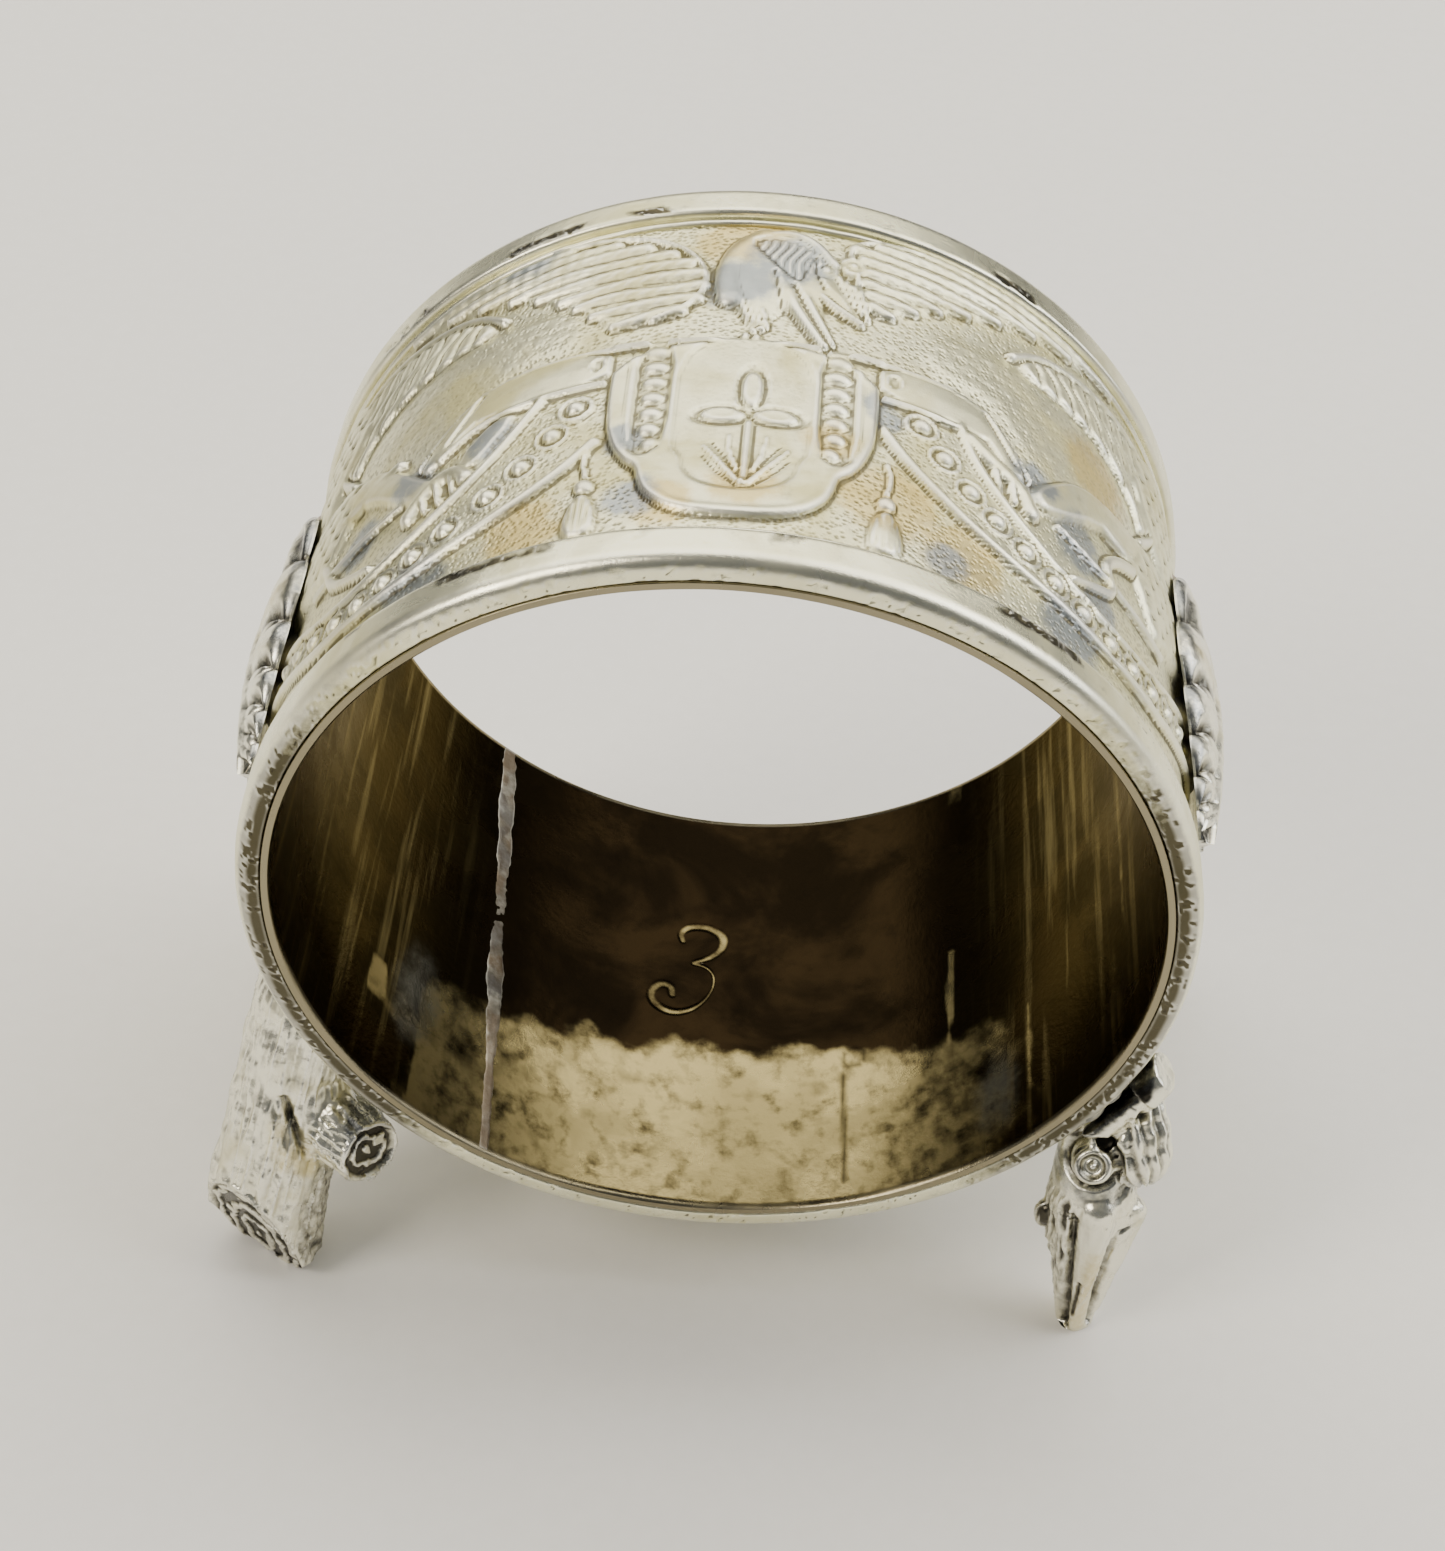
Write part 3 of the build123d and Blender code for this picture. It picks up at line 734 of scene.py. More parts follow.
        # the ground is matted with a punch, its marks as far apart as the punch is wide
        cells = put(tree, "ShaderNodeTexVoronoi", {"Vector": place,
                                                   "Scale": 1 / (look["punch"] * mm)}).outputs["Distance"]
        relief = put(tree, "ShaderNodeAttribute", attribute_name="relief").outputs["Fac"]
        ground = put(tree, "ShaderNodeMapRange", {0: relief, 1: 0.24, 2: 0.07}).outputs[0]
        pits = put(tree, "ShaderNodeMapRange", {0: cells, 1: 0.15, 2: 0.55, 3: 1.0, 4: 0.0}).outputs[0]
        pits = put(tree, "ShaderNodeMath", {0: pits, 1: ground}, operation="MULTIPLY").outputs[0]
        bump = put(tree, "ShaderNodeBump", {"Height": pits, "Strength": 0.55,
                                            "Distance": look["punch"] * mm * 0.22,
                                            "Normal": bump.outputs[0]}, invert=True)
        dark = put(tree, "ShaderNodeMath", {0: pits, 1: look["punchDark"]}, operation="MULTIPLY").outputs[0]
        colour = put(tree, "ShaderNodeMix", {0: dark, 6: colour, 7: linear(look["brown"])},
                     data_type="RGBA").outputs[2]
        tree.links.new(colour, shader.inputs["Base Color"])
    tree.links.new(bump.outputs[0], shader.inputs["Normal"])
    return material


# chased plate: struck with a die and chased, satin where the punch matted it, brown along the outlines
chasedPlate = plateMaterial("silver_plate_chased", {
    "rubbed": "#eeebc6", "warm": "#d4cd99", "brown": "#7b7149", "gold": "#d2b96f", "blue": "#8f98a2",
    "sulphide": "#453e2c", "bright": "#f8f5e4", "cloud": 5.0, "mottle": 0.9, "warmFrom": 0.40, "warmTo": 0.72,
    "fleck": 0.25, "goldingAndSheen": 0.7, "blueing": 0.8, "fine": (0.008, 0.038), "wide": (0.03, 0.13),
    "packed": 0.80,
    "edge": (-0.006, -0.03), "rub": 0.6, "gloss": 0.34, "dull": 0.52, "grain": 0.12, "bump": 0.3,
    "punch": 0.27, "punchDark": 0.5})
# turned plate: burnished smooth, then dulled and pitted by handling; its brown also serves as painted shade
# on the sides of the rim ends
turnedPlate = plateMaterial("silver_plate_burnished", {
    "rubbed": "#f0edcb", "warm": "#dad5a6", "brown": "#3b3525", "gold": "#bda868", "blue": "#8a939c",
    "sulphide": "#39342a", "bright": "#f4f2e4", "cloud": 6.0, "mottle": 0.7, "warmFrom": 0.42, "warmTo": 0.75,
    "fleck": 0.15, "goldingAndSheen": 0.6, "blueing": 0.7, "fine": (0.004, 0.02), "wide": (0.02, 0.08), "packed": 0.8,
    "edge": (-0.004, -0.02), "rub": 0.6, "gloss": 0.26, "dull": 0.44, "grain": 0.2, "bump": 0.2,
    "grimeAndShade": 0.95})
# bore: never polished, a glossy brown-bronze sulphide skin over the plate, rubbed golden by cloth; its
# near-black browns are partly that skin and partly painted shade and painted dark reflection inside the bore,
# and its gold also paints the light low at the front
borePlate = plateMaterial("silver_plate_bronzed_and_shaded", {
    "rubbed": "#20180d", "warm": "#120d07", "brown": "#0b0805", "gold": "#94875c", "blue": "#6f7068",
    "sulphide": "#17130c", "bright": "#d8cdaa", "cloud": 7.0, "mottle": 1.3, "warmFrom": 0.36, "warmTo": 0.6,
    "fleck": 0.5, "goldingAndSheen": 1.0, "blueing": 0.7, "fine": (0.01, 0.05), "wide": (0.02, 0.08), "packed": 0.5,
    "edge": (-0.01, -0.04), "rub": 0.4, "gloss": 0.2, "dull": 0.36, "grain": 0.5, "bump": 0.12,
    "streak": 0.7, "edgeTint": "#e2d9c4"})
# solder: a soft grey tin-lead, plated over thinly and stained
solderMetal = plateMaterial("soft_solder_stained", {
    "rubbed": "#c3c1b4", "warm": "#8f8c80", "brown": "#54493a", "gold": "#ab9070", "blue": "#4b515d",
    "sulphide": "#2e2c28", "bright": "#dddbd0", "cloud": 2.0, "mottle": 0.6, "warmFrom": 0.35, "warmTo": 0.65,
    "fleck": 0.4, "goldingAndSheen": 0.5, "blueing": 0.55, "fine": (0.005, 0.03), "wide": (0.02, 0.08), "packed": 0.6,
    "edge": (-0.004, -0.02), "rub": 0.35, "gloss": 0.36, "dull": 0.56, "grain": 0.2, "bump": 0.3})
# castings: poured in a bark-textured mould, plated bright, black left in the bark; the dark colour for stains
# also paints the shade on the log's sawn ends and far side
castPlate = plateMaterial("silver_plate_cast", {
    "rubbed": "#f4f1dd", "warm": "#d6d0aa", "brown": "#7d7459", "gold": "#cdbd80", "blue": "#5b6370",
    "sulphide": "#26231e", "bright": "#f8f6ec", "cloud": 3.0, "mottle": 0.7, "warmFrom": 0.44, "warmTo": 0.8,
    "fleck": 0.18, "goldingAndSheen": 0.6, "blueing": 0.75, "fine": (0.014, 0.055), "wide": (0.04, 0.16),
    "packed": 0.8,
    "edge": (-0.006, -0.03), "rub": 0.65, "gloss": 0.26, "dull": 0.38, "grain": 0.15, "bump": 0.2,
    "grimeAndShadeColour": "#2a261d", "grimeAndShade": 0.95})
print("materials ready")


# frieze, rims and band

friezeTop = makeFrieze("band_frieze_top", chasedPlate)
underMesh = friezeTop.data.copy()
# the other half is the same die again, half a turn on
underMesh.transform(Matrix.Translation((0, 0, 2 * ring["height"])) @ Matrix.Diagonal((-1, 1, -1, 1)))
friezeUnder = bpy.data.objects.new("band_frieze_underside", underMesh)
bpy.context.scene.collection.objects.link(friezeUnder)
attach(friezeUnder, "root")
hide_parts("band")
print("frieze chased", len(friezeTop.data.polygons), "faces a half")


def corner(centre, radius, start, stop, steps):
    # a rounded corner of a profile, angles in degrees from outwards towards the back
    turns = [radians(start + (stop - start) * k / steps) for k in range(steps + 1)]
    return [(centre[0] + radius * cos(t), centre[1] + radius * sin(t)) for t in turns]


def fillLine(points, pitch):
    # adds points along a closed profile so that none are further apart than pitch
    out = []
    for a, b in zip(points, points[1:] + points[:1]):
        count = max(1, round(hypot(b[0] - a[0], b[1] - a[1]) / pitch))
        out += [(a[0] + (b[0] - a[0]) * k / count, a[1] + (b[1] - a[1]) * k / count) for k in range(count)]
    return out + out[:1]


rims = {"seat": 21.48, "frontRound": 0.72, "backRound": 0.25, "columns": 840, "pitch": 0.13,
        "dent": 0.05, "wobble": 0.035}


def makeRim(name, backwards, seed):
    outer, width = ring["rim"] / mm, ring["rimWidth"] / mm
    shape = corner((rims["seat"] + 0.16, 0.16), 0.16, -180, -90, 4)
    shape += corner((outer - rims["frontRound"], rims["frontRound"]), rims["frontRound"], -90, 0, 7)
    shape += corner((outer - rims["backRound"], width - rims["backRound"]), rims["backRound"], 0, 90, 4)
    shape += [(rims["seat"], width)]
    total = (ring["back"] - ring["front"]) / mm
    profile = fillLine(shape, rims["pitch"])
    if backwards:
        profile = [(r, total - v) for r, v in profile]
    bm = rollRing(profile, rims["columns"])
    rim = finishPiece(bm, name, turnedPlate, [name])
    co = coords(rim.data)
    turn, radius, along = ringPolar(co)
    fromEnd = total - along if backwards else along
    # pits: rough streaks beside the frieze, and a peppered end face
    lumps = grain(co, 0.55, 3, seed)
    streaks = grain(co, 4.5, 2, seed + 1)
    onTop = smooth((radius - outer + 0.12) / 0.1) * smooth((fromEnd - 1.35) / 0.3) * smooth(
        (2.15 - fromEnd) / 0.1)
    pits = onTop * smooth((streaks - 0.12) / 0.12) * smooth((lumps + 0.05) / 0.25)
    endPits = smooth((0.12 - fromEnd) / 0.1) * smooth((lumps - 0.22) / 0.2) * 0.8
    soft = grain(co, 3.0, 2, seed + 2) * rims["wobble"] * smooth((radius - rims["seat"] - 0.2) / 0.6)
    worn = setRadius(co, radius - rims["dent"] * pits + np.minimum(soft, 0))
    worn[:, 1] += rims["dent"] * mm * endPits * (-1 if backwards else 1)
    setCoords(rim.data, worn)
    ageMesh(rim)
    # the end faces are painted darker at the sides, painted shade where the rounded ends turn away from the
    # overhead light; the pitted streaks beside the frieze are darkened in their pits
    atSide = smooth((np.abs(turn) - 38) / 40) * smooth((150 - np.abs(turn)) / 25)
    onEnd = smooth((0.28 - fromEnd) / 0.15) * smooth((outer - 0.30 - radius) / 0.25 + 0.6)
    addAttribute(rim, "grimeAndShade", 1.2 * onEnd * atSide +
                 0.95 * onTop * smooth((streaks - 0.05) / 0.2) * (np.abs(turn) < 48))


makeRim("front_rim", False, 11)
makeRim("rear_rim", True, 12)


def makeRimSolder(name, backwards, seed):
    # a thin run of solder with a rounded crown, and the groove that the graver left beside it
    ground, width = ring["ground"] / mm, ring["rimWidth"] / mm
    shape = [(ground - 0.25, width - 0.06), (ground + 0.12, width - 0.05), (ground + 0.16, width + 0.12)]
    shape += corner((ground + 0.06, width + 0.30), 0.17, -60, 100, 6) + [(ground - 0.25, width + 0.42)]
    total = (ring["back"] - ring["front"]) / mm
    profile = fillLine(shape, 0.09)
    if backwards:
        profile = [(r, total - v) for r, v in profile]
    bm = rollRing(profile, 560)
    run = finishPiece(bm, name, turnedPlate, [name])
    co = coords(run.data)
    radius = ringPolar(co)[1]
    setCoords(run.data, setRadius(co, radius + 0.02 * grain(co, 1.4, 2, seed) * (radius > ground)))
    ageMesh(run)


makeRimSolder("front_rim_solder", False, 21)
makeRimSolder("rear_rim_solder", True, 22)
print("rims turned")

numeral = {
    "angle": 184.7, "along": 16.4, "width": 0.62, "depth": 0.07, "cutWide": 9, "cutLong": 4.6,
    "stroke": [(-0.55, 2.15), (-0.75, 2.75), (-0.2, 3.35), (0.85, 3.45), (1.75, 2.85), (1.75, 1.9),
               (1.0, 1.0), (-0.1, 0.55),
               (0.9, 0.45), (1.45, -0.3), (1.3, -1.6), (0.45, -2.85), (-0.75, -3.35), (-1.8, -2.9),
               (-2.1, -2.0),
               (-1.6, -1.25), (-0.95, -1.35), (-0.85, -1.95)],
}


def makeBand():
    bore, total = ring["bore"] / mm, (ring["back"] - ring["front"]) / mm
    width = ring["rimWidth"] / mm
    seat, core = rims["seat"] - 0.03, ring["ground"] / mm - 0.25
    shape = [(bore, 0.12), (bore, total - 0.12), (bore + 0.1, total), (seat - 0.03, total),
             (seat, total - 0.04),
             (seat, total - width), (core, total - width), (core, width), (seat, width), (seat, 0.04),
             (seat - 0.03, 0),
             (bore + 0.1, 0)]
    bm = rollRing(fillLine(shape, 0.31), 600)
    # finer faces where the numeral is cut
    cut = []
    for face in bm.faces:
        centre = face.calc_center_median()
        turn = degrees(atan2(centre.x, centre.z - ring["height"])) % 360
        beside, behind = turn - numeral["angle"], (centre.y - ring["front"]) / mm - numeral["along"]
        onBore = hypot(centre.x, centre.z - ring["height"]) < (bore + 0.05) * mm
        if abs(beside) < numeral["cutWide"] and abs(behind) < numeral["cutLong"] and onBore:
            cut.append(face)
    edges = list({edge for face in cut for edge in face.edges})
    bmesh.ops.subdivide_edges(bm, edges=edges, cuts=3, use_grid_fill=True)
    band = finishPiece(bm, "band", borePlate, ["band"])
    co = coords(band.data)
    turn, radius, along = ringPolar(co)
    inside = radius < bore + 0.02
    across = -np.radians((turn % 360) - numeral["angle"]) * bore
    strokes = {"s": across * inside + 99 * ~inside, "v": along - numeral["along"], "h": np.zeros(len(co))}
    path = curve(numeral["stroke"], rounds=3) / (degree, 1)
    near, gap, place = gapTo(strokes, path, 1)
    swell = numeral["width"] / 2 * (0.75 + 0.45 * np.sin(place * 9))
    engraved = np.zeros(len(co))
    engraved[near] = smooth(1.2 - gap / swell)
    dented = 0.035 * grain(co, 6, 2, 31) * inside
    setCoords(band.data, setRadius(co, radius + numeral["depth"] * engraved + dented))
    ageMesh(band)
    # golden patch low at the front: painted light where the overhead light falls on the lower front of the
    # bore and reflects off it, its edge ragged, mottled darker
    around = turn % 360
    low = np.abs(around - 180)
    ragged = grain(co, 2.4, 3, 35)
    front = smooth((12.6 - 0.05 * low + 0.9 * ragged - along) / 2.8)
    gold = front * smooth((57 + 5 * ragged - low) / 16) * inside
    gold = gold * (0.62 + 0.38 * smooth(0.55 + 0.9 * grain(co, 0.9, 3,
                                                           36))) * (1 - 0.3 * smooth((low - 18) / 20))
    # a rubbed strip beside the seam and a few long ones at the right
    for at, start, stop, width, strength in ((224, 0, 8.4, 3.2, 0.8), (143.2, 8.6, 15.5, 1.0, 0.75),
                                             (142.6, 27, 32, 1.8, 0.5),
                                             (129, 3, 9, 0.8, 0.7), (105.3, 6, 12.5, 0.8, 0.55),
                                             (236, 5, 7.4, 2.4, 0.85)):
        strip = smooth((width + 0.8 * ragged - np.abs(around - at)) / 0.8)
        strip = strip * smooth((along - start) / 0.8 + 0.5) * smooth((stop - along) / 0.8 + 0.5)
        gold = np.maximum(gold, strength * strip * inside)
    gold = np.maximum(gold, engraved * (0.42 + 0.2 * grain(co, 1.6, 2, 37)))
    addAttribute(band, "goldingAndSheen", gold)
    # a hairline crack in the stain, with a ring mark where a drop dried
    mark = np.stack((np.radians(around - 180) * bore, along, 0 * along), 1)
    crack = nearLine(mark, (-7.22, 8.6, 0), (-7.55, 1.4, 0), 0.34)
    ringMark = smooth(1 - np.abs(np.hypot(mark[:, 0] + 7.8, mark[:, 1] - 9.7) - 0.62) / 0.26)
    stains = smooth(grain(co, 1.3, 3, 34) * 1.6 - 0.15) * 0.35 * front
    addAttribute(band, "grimeAndShade", np.maximum.reduce([stains, 0.9 * crack, 0.75 * ringMark]) * inside)
    blue = smooth(1 - np.hypot((around - 228) / 9, (along - 7) / 6)) * inside
    blue = np.maximum(blue, smooth(1 - np.hypot((around - 135) / 8, (along - 4) / 5)) * inside)
    addAttribute(band, "blueing", blue * 0.8)
    addAttribute(band, "streaking", smooth((low - 36) / 22) * smooth((118 - low) / 18) * inside)


makeBand()
print("band rolled and engraved")


# castings: rough limbs are melted into one skin in millimetres, then cut with bark, ribs and rings

def limb(bm, start, end, startRadius, endRadius, flat=1.0):
    # a tapered round limb between two points, its thickness across the ring scaled by flat
    run = Vector(end) - Vector(start)
    place = Matrix.Translation((Vector(start) +
                                Vector(end)) / 2) @ run.to_track_quat("Z", "X").to_matrix().to_4x4()
    made = bmesh.ops.create_cone(bm, cap_ends=True, segments=36, radius1=startRadius, radius2=endRadius,
                                 depth=run.length, matrix=place @ Matrix.Diagonal((1, flat, 1, 1)))
    return made["verts"]


def knuckle(bm, place, radius, size=(1, 1, 1)):
    # a ball or an egg where limbs meet
    bmesh.ops.create_uvsphere(bm, u_segments=28, v_segments=18, radius=radius,
                              matrix=Matrix.Translation(place) @ Matrix.Diagonal((*size, 1)))


def saw(bm, verts, place, facing):
    # cuts one limb's end off flat
    faces = list({face for vert in verts for face in vert.link_faces})
    edges = list({edge for vert in verts for edge in vert.link_edges})
    bmesh.ops.bisect_plane(bm, geom=verts + edges + faces, plane_co=place, plane_no=facing, clear_outer=True)
    bmesh.ops.holes_fill(bm, edges=[edge for edge in bm.edges if edge.is_boundary], sides=0)


def melt(bm, voxel, rounds):
    # melts overlapping solids into one skin, then softens the joints as the wax model's were
    rough = bpy.data.meshes.new("rough")
    bm.to_mesh(rough)
    bm.free()
    lump = bpy.data.objects.new("lump", rough)
    bpy.context.scene.collection.objects.link(lump)
    remesh = lump.modifiers.new("melt", "REMESH")
    remesh.mode, remesh.voxel_size = "VOXEL", voxel
    skin = bpy.data.meshes.new_from_object(lump.evaluated_get(bpy.context.evaluated_depsgraph_get()))
    bpy.data.objects.remove(lump)
    bpy.data.meshes.remove(rough)
    bm = bmesh.new()
    bm.from_mesh(skin)
    bpy.data.meshes.remove(skin)
    for _ in range(rounds):
        bmesh.ops.smooth_vert(bm, verts=bm.verts, factor=0.5, use_axis_x=True, use_axis_y=True,
                              use_axis_z=True)
    return bm


def aboutLimb(co, start, end):
    # place along a limb's axis, distance from it, and the vector across to it
    start, end = np.array(start, float), np.array(end, float)
    run = (end - start) / np.linalg.norm(end - start)
    along = (co - start) @ run
    across = co - start - along[:, None] * run
    return along, np.linalg.norm(across, axis=1), across, run


def bark(co, start, end, pitch, length, seed):
    # lengthwise ridges from 0 to 1, pitch apart and about length long
    along, _, across, run = aboutLimb(co, start, end)
    lumps = grain((across + run * (along * pitch / length)[:, None]) * mm, pitch, 3, seed)
    return 1 - np.abs(np.clip(lumps * 1.8, -1, 1))


def facingTo(nor, facing, least):
    # 1 where the surface faces a direction more closely than least, a cosine
    facing = np.array(facing, float)
    return smooth((nor @ (facing / np.linalg.norm(facing)) - least) / 0.12)


def shave(co, start, end, facing, depth, reach):
    # planes a limb flat on one side, depth from its axis
    along, away, across, run = aboutLimb(co, start, end)
    length = np.linalg.norm(np.array(end) - np.array(start))
    facing = np.array(facing, float)
    facing -= facing @ run * run
    facing /= np.linalg.norm(facing)
    part = smooth(1 - np.abs(along / length - 0.5) / 0.62 + 0.35) * (away < reach)
    return co - facing * (np.maximum(across @ facing - depth, 0) * part)[:, None]


def finishCasting(bm, name, shape, seat):
    # shapes the melted skin, fits it to the ring, files its sole flat and ages it
    piece = finishPiece(bm, name, castPlate, [name], 70)
    co, stains = shape(coords(piece.data), normals(piece.data))
    x, z = co[:, 0], co[:, 2] - ring["height"] / mm
    radius = np.hypot(x, z)
    fit = np.where(radius < seat, seat / radius, 1)
    co = np.stack((x * fit, co[:, 1], np.maximum(z * fit + ring["height"] / mm, 0)), 1)
    setCoords(piece.data, co * mm)
    ageMesh(piece)
    for label, values in stains.items():
        addAttribute(piece, label, values)
    return piece


def turnedCopy(piece, name, flip=False):
    # the same casting again: turned half a turn about the vertical, or mirrored to the other side
    mesh = piece.data.copy()
    if flip:
        mesh.transform(Matrix.Diagonal((-1, 1, 1, 1)))
        mesh.flip_normals()
    else:
        mesh.transform(Matrix.Rotation(pi, 4, "Z"))
    obj = bpy.data.objects.new(name, mesh)
    mesh.name = name
    bpy.context.scene.collection.objects.link(obj)
    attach(obj, "root")
    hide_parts(name)
    return obj


logFoot = {
    "top": (-20.3, -8.4, 17.2), "end": (-23.7, -14.1, 1.6), "radius": 3.25, "topRadius": 3.0,
    "sawn": (-0.51, -0.83, -0.21), "stubRoot": (-21.2, -11.2, 10.75), "stubEnd": (-17.35, -13.45, 8.75),
    "stubSawn": (0.74, -0.64, 0.08), "stubRadius": 1.85, "seat": 22.85, "voxel": 0.1, "ringPitch": 0.86,
    "foldTop": (-20.7, -13.2, 7.4), "foldFoot": (-21.35, -13.8, 1.25), "foldRadius": 1.05,
    "base": (-22.8, -13.1), "baseRadius": 1.65,
}


def makeLogFoot():
    f = logFoot
    end, sawn = Vector(f["end"]), Vector(f["sawn"]).normalized()
    down = (end - Vector(f["top"])).normalized()
    stubEnd, stubSawn = Vector(f["stubEnd"]), Vector(f["stubSawn"]).normalized()
    stubRun = (stubEnd - Vector(f["stubRoot"])).normalized()
    bm = bmesh.new()
    trunk = limb(bm, f["top"], end + down * 5, f["topRadius"], f["radius"])
    saw(bm, trunk, end, sawn)
    knuckle(bm, f["top"], f["topRadius"])
    stub = limb(bm, f["stubRoot"], stubEnd + stubRun * 2, f["stubRadius"] * 1.15, f["stubRadius"] * 0.92)
    saw(bm, stub, stubEnd, stubSawn)
    # a fold of bark down the inner side, rounded where it meets the table
    limb(bm, f["foldTop"], f["foldFoot"], f["foldRadius"], f["foldRadius"])
    knuckle(bm, f["foldFoot"], f["foldRadius"])
    bm = melt(bm, f["voxel"], 6)

    def shape(co, nor):
        stubAlong, stubAway, _, _ = aboutLimb(co, f["stubRoot"], f["stubEnd"])
        nearStub = np.linalg.norm(co - np.array(stubEnd), axis=1) < f["stubRadius"] * 1.35
        onFace = facingTo(nor, sawn, 0.84) * ((co - np.array(end)) @ np.array(sawn) > -0.7)
        onStub = smooth((stubAlong - 1.6) / 0.8) * smooth((f["stubRadius"] * 1.35 - stubAway) / 0.3)
        stubFace = facingTo(nor, stubSawn, 0.84) * nearStub
        side = (1 - onFace) * (1 - stubFace)
        ridges = bark(co, f["top"], f["end"], 0.95, 11.0, 41) * (1 - onStub) + \
            bark(co, f["stubRoot"], f["stubEnd"], 0.6, 3.5, 42) * onStub
        fine = bark(co, f["top"], f["end"], 0.42, 5.5, 43)
        height = side * (0.21 * (ridges - 0.7) + 0.07 * (fine - 0.7) + 0.12 * grain(co * mm, 1.5, 3, 46))
        # bark swirls round the stub's root, with a deep fold at its left
        swirl = smooth(1 - np.abs(stubAway - 2.55) / 0.5) * smooth((2.6 - stubAlong) / 1.0) * smooth(
            (stubAlong + 1.5) / 1.2)
        fold = nearLine(co, (-21.7, -13.5, 12.4), (-20.4, -14.4, 8.9), 0.42)
        height -= (0.16 * swirl + 0.40 * fold) * side
        height += 0.14 * nearLine(co, (-22.6, -13.8, 12.0), (-21.4, -14.9, 8.6), 0.5) * side
        height -= 0.20 * nearLine(co, (-25.1, -12.4, 9.5), (-25.9, -14.2, 5.2), 0.45) * side
        # growth rings, cracks and a proud lip of bark on the sawn ends
        grimeAndShade = side * np.maximum(0.75 * fold, 0.34 * smooth((0.62 - fine) / 0.3) * smooth(0.5 + 1.5 * grain(
            co * mm, 2.2, 2, 49)))
        # the sawn ends are painted dark between the ring marks and the lip: painted shade on faces that turn
        # down, away from the overhead light
        for facing, start, stop, reach in ((onFace, f["top"], f["end"], f["radius"]),
                                           (stubFace, f["stubRoot"], f["stubEnd"], f["stubRadius"])):
            away = aboutLimb(co, start, stop)[1]
            uneven = away + 0.42 * grain(co * mm, 1.0, 2, 44)
            marks = smooth((np.cos(2 * pi * uneven / f["ringPitch"]) +
                            0.9 * grain(co * mm, 0.7, 2, 45) - 0.05) / 0.6)
            lip = smooth((away - reach + 0.55) / 0.35)
            height += facing * (0.17 * marks - 0.26 + 0.24 * lip)
            grimeAndShade = np.maximum(grimeAndShade, facing * (1 - 0.85 * np.maximum(marks, lip)))
        # the side away from the light is roughened and painted darker: painted shade
        rough = facingTo(nor, (0.95, 0.0, -0.1), 0.62) * smooth((8.6 - co[:, 2]) / 1.2)
        height += 0.10 * rough * grain(co * mm, 0.5, 3, 47)
        grimeAndShade = np.maximum(grimeAndShade, rough * (0.45 + 0.35 * grain(co * mm, 0.5, 3, 48)))
        blue = smooth((co[:, 0] + 18.9) / 0.9) * smooth((co[:, 2] - 8.9) / 0.8)
        gold = np.maximum(nearLine(co, (-20.9, -14.3, 9.0), (-20.4, -14.5, 8.1), 1.3),
                          0.7 * nearLine(co, (-22.0, -14.3, 11.4), (-21.6, -14.8, 9), 1.7))
        co = co + nor * height[:, None]
        # the base is worn round where it stands
        middle = np.array(f["base"])
        away = np.hypot(*(co[:, :2] - middle).T)
        reach = f["baseRadius"] + 1.3 * np.sqrt(np.maximum(co[:, 2], 0)) + 3 * np.maximum(co[:, 2] - 2.4, 0)
        worn = np.minimum(1, reach / away)
        co[:, :2] = middle + (co[:, :2] - middle) * worn[:, None]
        return co, {"grimeAndShade": grimeAndShade, "blueing": blue, "goldingAndSheen": gold}

    return finishCasting(bm, "front_left_log_foot", shape, f["seat"])


twigFoot = {
    "root": (20.6, -9.8, 17.4), "fork": (20.2, -12.9, 8.9), "tip": (20.4, -14.2, -0.4), "prong": 2.35,
    "tipRadius": 0.95,
    "button": (19.75, -14.05, 12.9), "buttonFace": (-0.12, -0.78, 0.5), "seat": 22.85, "voxel": 0.085,
    "barLow": (19.6, -13.3, 14.3), "barHigh": (22.4, -12.4, 17.4), "shellRoot": (21.0, -11.2, 15.4),
    "shellEnd": (22.0, -12.7, 12.6), "shellRadius": 2.0, "facetTop": (22.1, -13.5, 8.4),
    "facetFoot": (20.9, -14.1, 0.9),
    "bladeTop": (20.35, -14.3, 9.6), "bladeFoot": (20.45, -14.6, 0.4),
}


